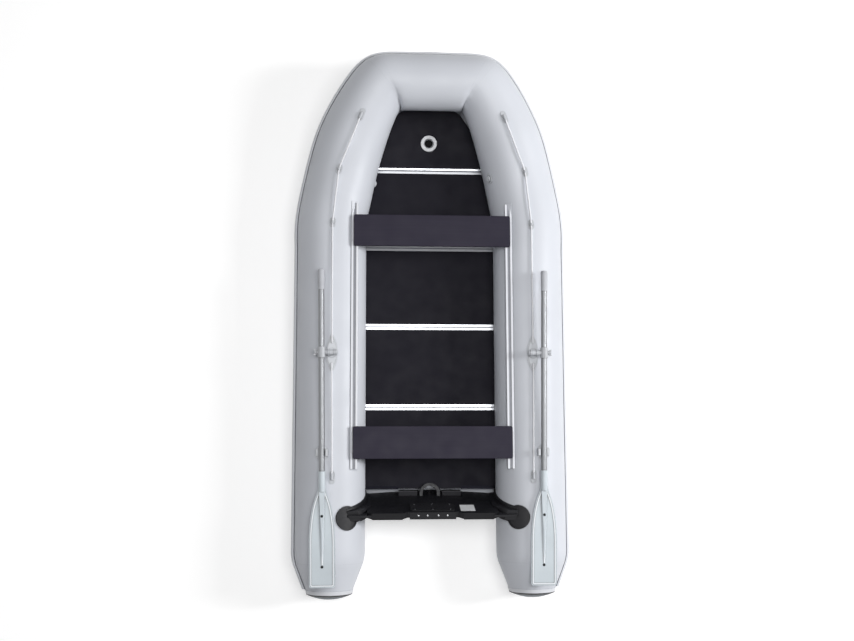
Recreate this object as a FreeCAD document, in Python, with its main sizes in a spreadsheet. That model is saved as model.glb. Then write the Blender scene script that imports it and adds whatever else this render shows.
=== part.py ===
import FreeCAD, Part
import math
import os
import re
import Sketcher
from FreeCAD import Placement, Rotation, Vector

# Inflatable keel boat with a hard sectional floor, two sliding seats and a pair of oars.
# Millimetres. +X is starboard, +Y the bow, +Z up; the origin is on the ground, mid length.

# Driving sizes, grouped by the piece that they belong to.
HULL = {
    "overall_length": 3300.0,
    "tube_radius": 210.0,
    "tube_offset": 605.0,
    "bow_radius": 170.0,
    "bow_rise": 190.0,
    "bend_run": 860.0,
    "bend_lead": 150.0,
    "cone_length": 200.0,
    "cone_end_radius": 132.0,
    "cone_blend": 90.0,
    "skin_fit": 0.3,
}
CAP = {
    "cap_bulge": 32.0,
    "cap_rim_height": 5.0,
    "cap_rim_depth": 4.0,
    "cap_skirt": 22.0,
}
STRAKE = {
    "strake_depth": 18.0,
    "strake_lip": 9.0,
    "strake_groove": 11.0,
    "strake_height": 64.0,
    "strake_bite": 6.0,
    "strake_tail_gap": 4.0,
}
BOTTOM = {
    "skin_thickness": 4.0,
    "skin_bury": 14.0,
    "skin_tail": 70.0,
    "keel_gap": 3.0,
    "keel_half_width": 46.0,
    "keel_dome": 5.0,
    "guard_width": 60.0,
    "guard_thickness": 2.5,
    "air_keel_width": 130.0,
    "air_keel_tail": 14.0,
}
FLOOR = {
    "floor_height": 93.0,
    "board_thickness": 12.0,
    "floor_end_set": 10.5,
    "bow_board_length": 386.0,
    "bow_board_rise": 78.0,
    "stern_board_length": 493.0,
    "board_slot": 1.0,
    "board_corner": 14.0,
    "valve_hole_radius": 32.0,
    "valve_hole_set": 172.0,
    "foot_notch_radius": 26.0,
}
JOINER = {
    "joiner_width": 34.0,
    "joiner_wall": 2.4,
    "joiner_web": 3.0,
    "joiner_groove": 1.2,
    "joiner_groove_width": 5.0,
    "joiner_end_gap": 2.0,
}
STRINGER = {
    "stringer_flange": 12.0,
    "stringer_wall": 2.0,
    "stringer_play": 0.5,
    "stringer_tube_gap": 1.0,
    "stringer_end_gap": 8.0,
    "stringer_reach": 43.0,
}
KEEL_VALVE = {
    "ring_radius": 51.0,
    "ring_height": 4.0,
    "ring_bore_radius": 30.0,
    "ring_chamfer": 2.5,
    "plug_radius": 24.0,
    "plug_height": 14.0,
}
TUBE_VALVE = {
    "valve_flange_radius": 30.0,
    "valve_flange_height": 4.0,
    "valve_cap_radius": 19.0,
    "valve_cap_height": 9.0,
    "valve_elevation": 25.0,
    "valve_port_elevation": -20.0,
}
TRANSOM = {
    "transom_rake": 17.0,
    "transom_thickness": 34.0,
    "transom_set": 395.0,
    "transom_side_gap": 9.0,
    "transom_height": 426.0,
    "transom_dip": 24.0,
    "transom_dip_half": 150.0,
    "transom_dip_slope": 26.0,
    "transom_corner": 26.0,
    "transom_seat": 0.4,
    "trim_height": 9.0,
    "trim_wall": 3.0,
    "drain_radius": 13.0,
    "drain_height": 62.0,
}
MOTOR_PADS = {
    "outer_pad_width": 272.0,
    "outer_pad_height": 250.0,
    "outer_pad_thickness": 9.0,
    "inner_pad_width": 262.0,
    "inner_pad_height": 118.0,
    "inner_pad_thickness": 6.0,
    "inner_pad_drop": 16.0,
    "pad_corner": 16.0,
    "pad_cap_height": 5.0,
}
HOLDER = {
    "holder_skin": 7.0,
    "holder_disc_radius": 70.0,
    "holder_disc_lean": 29.4,
    "holder_disc_set": 14.0,
    "holder_disc_rim": 7.0,
    "holder_spread": 48.0,
    "holder_lip": 9.0,
    "holder_grip": 26.0,
    "holder_web_half": 30.0,
    "holder_foot": 92.0,
    "holder_ear": 14.0,
    "holder_flare": 16.0,
    "holder_rib": 5.0,
    "holder_rib_rise": 4.0,
}
FOOT = {
    "stop_inner": 77.0,
    "stop_length": 113.0,
    "stop_depth": 30.0,
    "stop_height": 26.0,
    "stop_corner": 4.0,
    "arch_radius": 64.0,
    "arch_wall": 20.0,
    "arch_height": 16.0,
    "arch_set": 18.0,
    "stern_edge_gap": 4.0,
    "plug_flange": 20.0,
    "plug_knob": 9.0,
    "plug_reach": 12.0,
}
RAIL = {
    "rail_angle": 41.81,
    "rail_width": 40.0,
    "rail_rise": 23.5,
    "rail_groove": 18.0,
    "rail_groove_depth": 8.0,
    "rail_stern_set": 133.0,
    "rail_bow_set": 104.0,
    "rail_strip": 2.0,
    "strip_margin": 7.0,
}
SEAT = {
    "seat_overhang": 7.0,
    "seat_width": 190.0,
    "seat_thickness": 18.0,
    "seat_corner": 12.0,
    "seat_edge": 3.0,
    "seat_lift": 4.0,
    "seat_forward_set": 67.0,
    "seat_aft_set": 287.0,
    "foot_length": 120.0,
    "foot_width": 30.0,
    "foot_tongue": 14.0,
    "foot_tongue_depth": 6.0,
    "foot_play": 0.3,
}
OARLOCK = {
    "lock_x": 597.0,
    "lock_set": 812.0,
    "lock_pad_length": 226.0,
    "lock_pad_width": 66.0,
    "lock_pad_edge": 7.0,
    "lock_pad_top": 8.0,
    "lock_rope_set": 62.0,
    "lock_table_radius": 26.0,
    "lock_table_height": 7.0,
    "lock_spindle_radius": 8.0,
    "lock_boss_radius": 15.0,
    "lock_boss_length": 62.0,
    "lock_pivot_height": 46.0,
    "lock_saddle_width": 30.0,
    "lock_pin_radius": 5.0,
    "lock_knob_radius": 9.0,
    "lock_knob_length": 22.0,
    "lock_wing_span": 38.0,
    "lock_wing_wall": 6.0,
    "running_fit": 0.08,
    "side_play": 0.5,
}
OAR = {
    "oar_reach": 60.0,
    "oar_toe": 0.65,
    "oar_droop": 1.6,
    "shaft_radius": 17.0,
    "grip_end": 490.0,
    "grip_length": 121.0,
    "grip_radius": 20.0,
    "grip_neck": 18.5,
    "neck_set": 690.0,
    "neck_radius": 21.0,
    "neck_length": 74.0,
    "blade_end": 1352.0,
    "blade_width": 150.0,
    "blade_thickness": 4.0,
    "blade_rim": 5.0,
    "blade_rim_width": 7.0,
    "blade_rim_set": 14.0,
    "blade_rib": 12.0,
    "blade_rib_end": 6.0,
    "blade_hole": 5.0,
    "clamp_length": 62.0,
    "clamp_wall": 6.0,
    "clamp_gap": 1.0,
}
CLIP = {
    "clip_set": 583.0,
    "clip_length": 39.0,
    "clip_base_length": 84.0,
    "clip_base_width": 70.0,
    "clip_base_height": 10.0,
    "clip_wall": 13.0,
    "clip_play": 5.5,
    "clip_finger": 18.0,
    "clip_lip": 9.0,
}
LIFELINE = {
    "rope_radius": 5.0,
    "rope_lift": 10.0,
    "rope_bend": 40.0,
    "rope_fit": 0.4,
    "guide_length": 60.0,
    "guide_width": 34.0,
    "guide_loop": 16.0,
    "guide_wall": 4.0,
    "tab_length": 74.0,
    "tab_width": 30.0,
    "stern_tab_set": 110.0,
    "stern_tab_x": 591.0,
}
BOW_FITTINGS = {
    "handle_length": 190.0,
    "handle_radius": 8.0,
    "handle_height": 32.0,
    "handle_foot": 34.0,
    "handle_lean": -30.0,
    "handle_plate": 4.0,
    "ring_patch_radius": 45.0,
    "ring_patch_height": 4.0,
    "ring_lean": -62.0,
    "tow_ring_radius": 22.0,
    "tow_ring_wire": 4.0,
    "tow_lug": 11.0,
    "overrun": 40.0,
}
GROUPS = (HULL, CAP, STRAKE, BOTTOM, FLOOR, JOINER, STRINGER, KEEL_VALVE, TUBE_VALVE, TRANSOM,
          MOTOR_PADS, HOLDER, FOOT, RAIL, SEAT, OARLOCK, OAR, CLIP, LIFELINE, BOW_FITTINGS)

# Sections of the bending tube, from the end of the straight part to the middle of the bow:
# share of the bend's run, of the tubes' offset, of the taper to the bow's radius, of the
# rise, then the heading in degrees.
BEND_SHARES = (
    (0.000, 1.000, 0.00, 0.000, 0.0),
    (0.200, 0.953, 0.00, 0.030, 9.0),
    (0.407, 0.887, 0.03, 0.140, 15.0),
    (0.600, 0.805, 0.10, 0.330, 20.0),
    (0.760, 0.707, 0.37, 0.550, 27.0),
    (0.930, 0.553, 0.72, 0.840, 41.0),
    (0.982, 0.455, 0.82, 0.940, 58.0),
    (0.998, 0.343, 0.96, 0.985, 76.0),
)
SEAM = 6

# How far along the bend the floor starts to climb.
BOW_JOINT_SHARE = 0.4424

# Where the bottom skin leaves each of those sections, in degrees inboard of the tube's
# lowest line, and the share of the stem's rise that the keel line has there.
SKIN_DEGREES = (52.0, 47.0, 40.0, 32.0, 21.0, 11.0, 6.0, 0.0)
KEEL_SHARES = (0.0, 0.008, 0.03, 0.10, 0.25, 0.49, 0.73, 1.0)

DOCUMENT = FreeCAD.newDocument("InflatableBoat")
SHEET = DOCUMENT.addObject("Spreadsheet::Sheet", "Sizes")
PROBE = DOCUMENT.addObject("App::FeaturePython", "Probe")
PROBE.addProperty("App::PropertyFloat", "Reading")
NODES = {}
STARBOARD = 1
PORT = -1
SIDES = (("port", PORT), ("starboard", STARBOARD))
AHEAD = Vector(0, 1, 0)
UP = Vector(0, 0, 1)
ACROSS = Vector(1, 0, 0)


def fill_sheet():
    """Writes every size into the sheet under its own name."""
    row = 0
    for group in GROUPS:
        for alias, number in group.items():
            row += 1
            SHEET.set(f"A{row}", alias)
            SHEET.set(f"B{row}", str(number))
            SHEET.setAlias(f"B{row}", alias)
    DOCUMENT.recompute()


def size(alias):
    return float(SHEET.get(alias))


fill_sheet()
ALIASES = re.compile(r"\b(" + "|".join(name for group in GROUPS for name in group) + r")\b")

# Lines that many pieces share, worked out from the driving sizes.
BOW_FACE = "(overall_length / 2 - strake_depth)"
BOW_CENTRE = f"({BOW_FACE} - bow_radius)"
BEND_START = f"({BOW_CENTRE} - bend_run)"
CONE_TIP = "(cap_bulge + cap_rim_depth - overall_length / 2)"
CONE_START = f"({CONE_TIP} + cone_length)"
TRANSOM_Y = f"({CONE_START} + transom_set)"
TRANSOM_HALF = "(tube_offset - tube_radius - transom_side_gap)"
FLOOR_TOP = "(floor_height + board_thickness)"
FLOOR_STERN = f"({TRANSOM_Y} + floor_end_set)"
BOARD_GAP = "(joiner_web / 2 + board_slot)"
STERN_JOINT = f"({FLOOR_STERN} + stern_board_length + {BOARD_GAP})"
BOW_JOINT = f"({BEND_START} + bend_run * {BOW_JOINT_SHARE})"
RAIL_CENTRE = "(tube_offset - tube_radius * sin(rail_angle))"
RAIL_TOP = "(tube_radius * (1 + cos(rail_angle)) + rail_rise)"
RAIL_STERN = f"({TRANSOM_Y} + rail_stern_set)"
RAIL_LENGTH = f"({BEND_START} + rail_bow_set - {RAIL_STERN})"
SEAT_HALF = f"({RAIL_CENTRE} + seat_overhang)"
LOCK_Y = f"({TRANSOM_Y} + lock_set)"
CLIMB_SINE = "(bow_board_rise / bow_board_length)"
CLIMB_COSINE = f"sqrt(1 - {CLIMB_SINE} ^ 2)"


def expand(text):
    """An expression with each size's name turned into its cell."""
    return ALIASES.sub(r"Sizes.\1", text)


def number(text):
    """The present value of an expression."""
    PROBE.setExpression("Reading", expand(text))
    PROBE.recompute()
    return PROBE.Reading


def bind(thing, **expressions):
    for name, text in expressions.items():
        thing.setExpression(name, expand(text))
    return thing


def place(thing, x="0", y="0", z="0", turn=None):
    """Puts a thing at a point whose coordinates stay bound to the sheet."""
    thing.Placement = Placement(Vector(number(x), number(y), number(z)), turn or Rotation())
    for axis, text in (("x", x), ("y", y), ("z", z)):
        if text != "0":
            thing.setExpression(f"Placement.Base.{axis}", expand(text))
    return thing


def add(kind, label, **expressions):
    thing = DOCUMENT.addObject(kind, label.title().replace("_", ""))
    thing.Label = label
    return bind(thing, **expressions)


def feature(label, shape):
    """A sub-part whose shape is worked out here from the sheet."""
    thing = DOCUMENT.addObject("Part::Feature", label.title().replace("_", ""))
    thing.Label = label
    thing.Shape = shape
    return thing


def node(thing, label=None):
    """Keeps a thing as one of the boat's nodes, under its label."""
    if label:
        thing.Label = label
    NODES[thing.Label] = thing
    return thing


def group(label, things):
    """Like pieces that share one node."""
    compound = DOCUMENT.addObject("Part::Compound", label.title().replace("_", ""))
    compound.Label = label
    compound.Links = things
    return node(compound)


def cut(label, base, tools):
    thing = add("Part::Cut", label)
    thing.Base = base
    thing.Tool = tools if not isinstance(tools, (list, tuple)) else fuse(label + "_tool", tools)
    return thing


def fuse(label, things):
    thing = add("Part::MultiFuse", label)
    thing.Shapes = list(things)
    return thing


def mirror(label, thing):
    """The port twin of a starboard piece."""
    twin = add("Part::Mirroring", label)
    twin.Source = thing
    twin.Normal = ACROSS
    return twin


def origin_plane(body, role):
    return [plane for plane in body.Origin.OriginFeatures if plane.Role == role][0]


def new_body(label):
    body = DOCUMENT.addObject("PartDesign::Body", label.title().replace("_", ""))
    body.Label = label
    return body


def sketch(body, plane):
    """An empty sketch on one of the body's own origin planes."""
    drawing = body.newObject("Sketcher::SketchObject", body.Name + "Sketch")
    drawing.AttachmentSupport = [(origin_plane(body, plane), "")]
    drawing.MapMode = "FlatFace"
    return drawing


def outline(drawing, points):
    """A closed polygon whose corners are held by bound distances from the origin."""
    spots = [(number(x), number(y)) for x, y in points]
    first = drawing.GeometryCount
    for index, spot in enumerate(spots):
        following = spots[(index + 1) % len(spots)]
        drawing.addGeometry(Part.LineSegment(Vector(*spot, 0), Vector(*following, 0)))
    for index in range(len(spots)):
        after = first + (index + 1) % len(spots)
        drawing.addConstraint(Sketcher.Constraint("Coincident", first + index, 2, after, 1))
    for index, (texts, spot) in enumerate(zip(points, spots)):
        for kind, text, distance in zip(("DistanceX", "DistanceY"), texts, spot):
            rule = Sketcher.Constraint(kind, -1, 1, first + index, 1, distance)
            which = drawing.addConstraint(rule)
            if text != "0":
                drawing.setExpression(f"Constraints[{which}]", expand(text))
    return drawing


def circle(drawing, x, y, radius):
    """A circle with a bound centre and radius."""
    middle = Vector(number(x), number(y), 0)
    which = drawing.addGeometry(Part.Circle(middle, UP, number(radius)))
    for kind, text, distance in (("DistanceX", x, middle.x), ("DistanceY", y, middle.y)):
        rule = drawing.addConstraint(Sketcher.Constraint(kind, -1, 1, which, 3, distance))
        if text != "0":
            drawing.setExpression(f"Constraints[{rule}]", expand(text))
    rule = drawing.addConstraint(Sketcher.Constraint("Radius", which, number(radius)))
    drawing.setExpression(f"Constraints[{rule}]", expand(radius))
    return drawing


def pad(body, drawing, length, both_ways=False, reverse=False):
    solid = body.newObject("PartDesign::Pad", body.Name + "Pad")
    solid.Profile = drawing
    solid.Midplane = both_ways
    solid.Reversed = reverse
    bind(solid, Length=length)
    DOCUMENT.recompute()
    return solid


def pocket(body, drawing, both_ways=True, depth=None):
    before = body.Shape.Volume
    hole = body.newObject("PartDesign::Pocket", body.Name + "Pocket")
    hole.Profile = drawing
    hole.Midplane = both_ways
    bind(hole, Length=depth or "2 * overrun")
    DOCUMENT.recompute()
    if body.Shape.Volume >= before:
        raise ValueError(body.Label + ": the pocket removes nothing")
    return hole


def edges_where(shape, test):
    return [f"Edge{index + 1}" for index, edge in enumerate(shape.Edges) if test(edge)]


def round_edges(body, test, radius):
    """Rounds the edges of a body that pass the test."""
    base = body.Tip
    names = edges_where(body.Shape, test)
    fillet = body.newObject("PartDesign::Fillet", body.Name + "Fillet")
    fillet.Base = (base, names)
    bind(fillet, Radius=radius)
    DOCUMENT.recompute()
    return fillet


def runs_along(axis):
    def test(edge):
        if edge.Curve.TypeId != "Part::GeomLine":
            return False
        return abs(edge.tangentAt(edge.FirstParameter).dot(axis)) > math.cos(math.radians(1))
    return test


# The hull tube's sections.

def section_sizes(row):
    """Centre and radius of a section of the starboard tube, as expressions."""
    run, offset, taper, rise, heading = BEND_SHARES[row]
    return {
        "x": f"tube_offset * {offset}",
        "y": f"{BEND_START} + bend_run * {run}",
        "z": f"tube_radius + bow_rise * {rise}",
        "radius": f"tube_radius + (bow_radius - tube_radius) * {taper}",
        "heading": heading,
    }


def middle_sizes():
    return {"x": "0", "y": BOW_CENTRE, "z": "tube_radius + bow_rise", "radius": "bow_radius",
            "heading": 90.0}


def lead_sizes():
    return {"x": "tube_offset", "y": f"{BEND_START} - bend_lead", "z": "tube_radius",
            "radius": "tube_radius", "heading": 0.0}


def outward(side, heading):
    """Level direction from a section's centre to the tube's outer side."""
    angle = math.radians(heading)
    return Vector(side * math.cos(angle), math.sin(angle), 0)


def section_turn(side, heading):
    out = outward(side, heading)
    return Rotation(out, UP, out.cross(UP), "XYZ")


def section(label, side, sizes, grow):
    """One upright round section of the tube."""
    ring = add("Part::Ellipse", label, MajorRadius=f"{sizes['radius']} + {grow}",
               MinorRadius=f"{sizes['radius']} + {grow}")
    x = sizes["x"] if side == STARBOARD or sizes["x"] == "0" else f"-({sizes['x']})"
    return place(ring, x, sizes["y"], sizes["z"], section_turn(side, sizes["heading"]))


def loft(label, sections):
    thing = add("Part::Loft", label)
    thing.Sections = sections
    thing.Solid = True
    thing.Ruled = False
    return thing


def side_tube(label, side, grow="0"):
    """A side tube: stern cone, straight length and the bend up to the bow's seam."""
    aft = Rotation(ACROSS, -90)
    x = "tube_offset" if side == STARBOARD else "-tube_offset"
    cone = add("Part::Cone", label + "_cone", Radius1=f"cone_end_radius + {grow}",
               Radius2=f"tube_radius + {grow}", Height="cone_length")
    place(cone, x, CONE_TIP, "tube_radius", aft)
    straight = add("Part::Cylinder", label + "_straight", Radius=f"tube_radius + {grow}",
                   Height=f"{BEND_START} - bend_lead - {CONE_START}")
    place(straight, x, CONE_START, "tube_radius", aft)
    rings = [section(label + "_lead", side, lead_sizes(), grow)]
    for row in range(SEAM + 1):
        rings.append(section(f"{label}_ring_{row}", side, section_sizes(row), grow))
    return fuse(label, [cone, straight, loft(label + "_bend", rings)])


def bow_tube(label, grow="0"):
    """The bow tube, from one seam round to the other."""
    rings = [section(f"{label}_port_{row}", PORT, section_sizes(row), grow)
             for row in range(SEAM, len(BEND_SHARES))]
    rings.append(section(label + "_middle", STARBOARD, middle_sizes(), grow))
    rings += [section(f"{label}_starboard_{row}", STARBOARD, section_sizes(row), grow)
              for row in range(len(BEND_SHARES) - 1, SEAM - 1, -1)]
    return loft(label, rings)


def make_tubes():
    """The three air chambers, and the same forms grown by a fit for trimming what they meet."""
    tools = {}
    for name, side in SIDES:
        plain = side_tube("tube_" + name + "_raw", side)
        DOCUMENT.recompute()
        rounded = add("Part::Fillet", "tube_" + name)
        rounded.Base = plain
        start = number(CONE_START)
        names = [index + 1 for index, edge in enumerate(plain.Shape.Edges)
                 if edge.Closed and abs(edge.CenterOfMass.y - start) < number("skin_fit")]
        rounded.Edges = [(index, size("cone_blend"), size("cone_blend")) for index in names]
        node(rounded)
        tools[name] = side_tube("tool_" + name, side, "skin_fit")
    node(bow_tube("tube_bow"))
    tools["bow"] = bow_tube("tool_bow", "skin_fit")
    DOCUMENT.recompute()
    tools["sides"] = fuse("tool_sides", [tools["port"], tools["starboard"]])
    DOCUMENT.recompute()
    return tools


# Rubber end caps and rub strakes.

def make_caps():
    """A domed cap over each cone's end, with a rim that stands proud of the fabric."""
    tip = size("cone_end_radius")
    slope = (size("tube_radius") - tip) / size("cone_length")
    fit = size("skin_fit")
    rim = size("cap_rim_height")
    skirt = size("cap_skirt")
    depth = size("cap_rim_depth")
    bulge = size("cap_bulge")
    inner = Vector(tip + fit, 0, 0)
    corners = [Vector(0, 0, -fit), Vector(tip + fit, 0, -fit), inner,
               Vector(tip + fit + slope * skirt, 0, skirt),
               Vector(tip + rim / 2 + slope * skirt, 0, skirt),
               Vector(tip + rim, 0, 0), Vector(tip + rim, 0, -depth)]
    ball = ((tip + rim) ** 2 + bulge ** 2) / (2 * bulge)
    half_angle = math.asin((tip + rim) / ball) / 2
    sag = ball * (1 - math.cos(half_angle))
    dome = Part.Arc(corners[-1], Vector(ball * math.sin(half_angle), 0, sag - depth - bulge),
                    Vector(0, 0, -depth - bulge))
    edges = [Part.makeLine(first, second) for first, second in zip(corners, corners[1:])]
    edges += [dome.toShape(), Part.makeLine(Vector(0, 0, -depth - bulge), corners[0])]
    shape = Part.Face(Part.Wire(edges)).revolve(Vector(), UP, 360)
    for name, side in SIDES:
        cap = feature("stern_cap_" + name, shape)
        place(cap, "tube_offset" if side == STARBOARD else "-tube_offset", CONE_TIP,
              "tube_radius", Rotation(ACROSS, -90))
        node(cap)


def strake_wire(side, sizes):
    """The strake's twin-beaded profile on the outer side of a tube section."""
    half = size("strake_height") / 2
    depth = size("strake_depth")
    lip = size("strake_lip")
    bite = size("strake_bite")
    valley = size("strake_groove")
    spots = [(-bite, -half), (lip, -half), (depth, -half / 2), (valley, 0), (depth, half / 2),
             (lip, half), (-bite, half)]
    out = outward(side, sizes["heading"])
    x = number(sizes["x"]) * side
    middle = Vector(x, number(sizes["y"]), number(sizes["z"])) + out * number(sizes["radius"])
    p = [middle + out * across + UP * rise for across, rise in spots]
    return Part.Wire([Part.makeLine(p[0], p[1]), Part.Arc(p[1], p[2], p[3]).toShape(),
                      Part.Arc(p[3], p[4], p[5]).toShape(), Part.makeLine(p[5], p[6]),
                      Part.makeLine(p[6], p[0])])


def make_strakes(tools):
    """Rub strakes that hug the outer line of the three tubes, from cap to cap."""
    covered = "(cap_skirt + strake_tail_gap)"
    taper = f"(tube_radius - cone_end_radius) * {covered} / cone_length"
    ends = lead_sizes()
    corner = dict(ends, y=CONE_START)
    tail = dict(ends, y=f"{CONE_TIP} + {covered}", radius=f"cone_end_radius + {taper}")
    for name, side in SIDES:
        aft, knuckle, fore = (strake_wire(side, sizes) for sizes in (tail, corner, ends))
        cone = Part.makeLoft([aft, knuckle], True)
        straight = Part.makeLoft([knuckle, fore], True)
        wires = [fore] + [strake_wire(side, section_sizes(row)) for row in range(SEAM + 1)]
        bend = Part.makeLoft(wires, True)
        shape = straight.fuse([cone, bend]).cut(tools[name].Shape).removeSplitter()
        node(feature("strake_" + name, shape))
    rows = range(SEAM, len(BEND_SHARES))
    wires = [strake_wire(PORT, section_sizes(row)) for row in rows]
    wires.append(strake_wire(STARBOARD, middle_sizes()))
    wires += [strake_wire(STARBOARD, section_sizes(row)) for row in reversed(rows)]
    node(feature("strake_bow", Part.makeLoft(wires, True).cut(tools["bow"].Shape)))


# Bottom skin, air keel and keel guard.

def skin_point(sizes, degrees):
    """Where the skin leaves a section of the starboard tube."""
    angle = math.radians(degrees)
    out = outward(STARBOARD, sizes["heading"])
    centre = Vector(number(sizes["x"]), number(sizes["y"]), number(sizes["z"]))
    return centre - (out * math.sin(angle) + UP * math.cos(angle)) * number(sizes["radius"])


def keel_lines():
    """Stations of the bottom: (y, keel height, the skin's corner on the starboard tube)."""
    stem = number("tube_radius + bow_rise - bow_radius - keel_gap")
    rows = [(dict(lead_sizes(), y=f"{TRANSOM_Y} - skin_tail"), SKIN_DEGREES[0], 0.0),
            (lead_sizes(), SKIN_DEGREES[0], 0.0)]
    rows += [(section_sizes(row), SKIN_DEGREES[row], KEEL_SHARES[row])
             for row in range(len(BEND_SHARES))]
    lines = []
    for sizes, degrees, share in rows:
        corner = skin_point(sizes, degrees)
        lines.append((corner.y, size("keel_gap") + stem * share, corner))
    return lines


def skin_path(line, bury, lift):
    """Half the skin's lower line raised by a lift: its end, knuckle and keel, from outboard."""
    y, keel, corner = line
    half = size("keel_half_width")
    dome = min(size("keel_dome"), (corner.z - keel) * half / corner.x + size("skin_fit"))
    slope = (corner.z - keel - dome) / (corner.x - half)
    spots = [(corner.x + bury, corner.z + slope * bury), (half, keel + dome), (0, keel)]
    return [Vector(x, y, z + lift) for x, z in spots]


def vee_edges(line, bury, lift):
    """The skin's whole cross line from port to starboard, round at the keel."""
    end, knuckle, keel = skin_path(line, bury, lift)
    port = [Vector(-spot.x, spot.y, spot.z) for spot in (end, knuckle)]
    return [Part.makeLine(port[0], port[1]), Part.Arc(port[1], keel, knuckle).toShape(),
            Part.makeLine(knuckle, end)]


def skin_wire(line, bury):
    """A thin V with a rounded keel, its ends run on into the tubes."""
    thick = size("skin_thickness")
    end = skin_path(line, bury, 0)[0]
    sides = [Part.makeLine(Vector(way * end.x, end.y, end.z),
                           Vector(way * end.x, end.y, end.z + thick)) for way in (1, -1)]
    loop = vee_edges(line, bury, 0) + vee_edges(line, bury, thick) + sides
    return Part.Wire(Part.__sortEdges__(loop))


def under_skin():
    """All that lies below the skin's upper face at the transom, less the transom's seat."""
    line = keel_lines()[0]
    reach = size("overrun")
    lift = size("skin_thickness") + size("transom_seat")
    end = skin_path(line, reach, lift)[0]
    low = Vector(0, 0, -end.z - 2 * reach)
    corners = [Vector(way * end.x, end.y, end.z) for way in (1, -1)]
    loop = vee_edges(line, reach, lift)
    loop += [Part.makeLine(corners[0], corners[0] + low),
             Part.makeLine(corners[0] + low, corners[1] + low),
             Part.makeLine(corners[1] + low, corners[1])]
    face = Part.Face(Part.Wire(Part.__sortEdges__(loop)))
    run = size("transom_height")
    face.translate(AHEAD * (size("skin_tail") - run))
    return face.extrude(AHEAD * 2 * run)


def make_bottom(tools):
    lines = keel_lines()
    wires = [skin_wire(line, size("skin_bury")) for line in lines]
    raw = Part.makeLoft(wires[:2], True, True).fuse(Part.makeLoft(wires[1:], True, True))
    skin = raw.cut([tools[name].Shape for name in ("port", "starboard", "bow")])
    solids = sorted(skin.Solids, key=lambda solid: solid.Volume)
    node(feature("bottom_skin", solids[-1]))
    make_air_keel(lines)
    make_guard(lines)


def keel_height(lines, y):
    """Height of the keel line between its stations."""
    for (aft, low, corner), (fore, high, other) in zip(lines, lines[1:]):
        if aft <= y <= fore:
            return low + (high - low) * (y - aft) / (fore - aft)
    return lines[0][1]


def make_air_keel(lines):
    """The inflated keel between the skin and the floor."""
    fit = size("skin_fit")
    wide = size("air_keel_width") / 2
    under = size("keel_dome") + size("skin_thickness") + fit
    hinge = number(BOW_HINGE)
    climb = number(f"{CLIMB_SINE} / {CLIMB_COSINE}")
    ceiling = size("floor_height") - size("joiner_wall") - size("board_slot")
    spots = [number(f"{TRANSOM_Y} + air_keel_tail"), lines[1][0], lines[2][0], hinge,
             hinge + 4 * wide]
    rings = []
    for y in spots:
        top = ceiling + max(0, (y - hinge) * climb)
        bottom = keel_height(lines, y) + under
        high = (top - bottom) / 2
        middle = Vector(0, y, bottom + high)
        ends = [Vector(wide, y, bottom + high), Vector(0, y, top)]
        ring = Part.Ellipse(*(ends if wide > high else ends[::-1]), middle)
        rings.append(Part.Wire(ring.toShape()))
    node(feature("air_keel", Part.makeLoft(rings, True, True)))


# The guard's cross-section: share of its half width, share of its thickness.
GUARD_SHARES = ((-1.0, 0.45), (-0.75, 0.95), (-0.4, 1.0), (0.0, 1.0), (0.4, 1.0), (0.75, 0.95),
                (1.0, 0.45))


def make_guard(lines):
    """A rubbing strip under the keel line, in narrow flats that follow the keel's round."""
    half = size("guard_width") / 2
    thick = size("guard_thickness")
    fit = size("skin_fit")
    across = [(half * wide, thick * deep) for wide, deep in GUARD_SHARES]
    wires = []
    for y, keel, corner in lines[:-2]:
        high = [Vector(x, y, keel - fit + size("keel_dome") * (x / size("keel_half_width")) ** 2)
                for x, deep in across]
        low = [spot - UP * deep for spot, (x, deep) in zip(high, across)]
        wires.append(Part.makePolygon(high + low[::-1] + high[:1]))
    strip = Part.makeLoft(wires[:2], True, True).fuse(Part.makeLoft(wires[1:], True, True))
    node(feature("keel_guard", strip.removeSplitter()))


# Floor boards, joiners and stringers.

STRINGER_OUTER = ("(tube_offset - sqrt(tube_radius ^ 2 - (tube_radius - " + FLOOR_TOP
                  + " - joiner_wall) ^ 2) - stringer_tube_gap)")
BOARD_EDGE = f"({STRINGER_OUTER} - stringer_wall - stringer_play)"


LAST_JOINER = 3


def joiner_y(index):
    """Centre of a joiner, counted from the stern."""
    return f"({STERN_JOINT} + ({BOW_JOINT} - {STERN_JOINT}) * {index} / {LAST_JOINER})"


BOW_HINGE = f"({BOW_JOINT} + board_thickness * {CLIMB_SINE})"
BOW_BOARD_START = f"({BOW_HINGE} + {BOARD_GAP} * {CLIMB_COSINE})"
BOW_BOARD_LEVEL = f"(floor_height + {BOARD_GAP} * {CLIMB_SINE})"


def board_body(label, points):
    """A floor board of one thickness, cut from its outline."""
    body = new_body(label)
    drawing = outline(sketch(body, "XY_Plane"), points)
    pad(body, drawing, "board_thickness")
    return body


def make_floor(tools):
    names = ("stern", "after", "middle", "forward")
    for index, name in enumerate(names):
        fore = f"{joiner_y(index)} - {BOARD_GAP}"
        aft = f"{joiner_y(index - 1)} + {BOARD_GAP}" if index else FLOOR_STERN
        points = [(f"-{BOARD_EDGE}", aft), (BOARD_EDGE, aft), (BOARD_EDGE, fore),
                  (f"-{BOARD_EDGE}", fore)]
        body = board_body("board_" + name, points)
        if index == 0:
            notch = circle(sketch(body, "XY_Plane"), "0", aft, "foot_notch_radius")
            pocket(body, notch)
        place(body, "0", "0", "floor_height")
        board = cut("floor_board_" + name, body, tools["sides"]) if index > 1 else body
        node(board, "floor_board_" + name)
    make_bow_board(tools)
    make_joiners(tools)
    make_stringers(tools)


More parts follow.
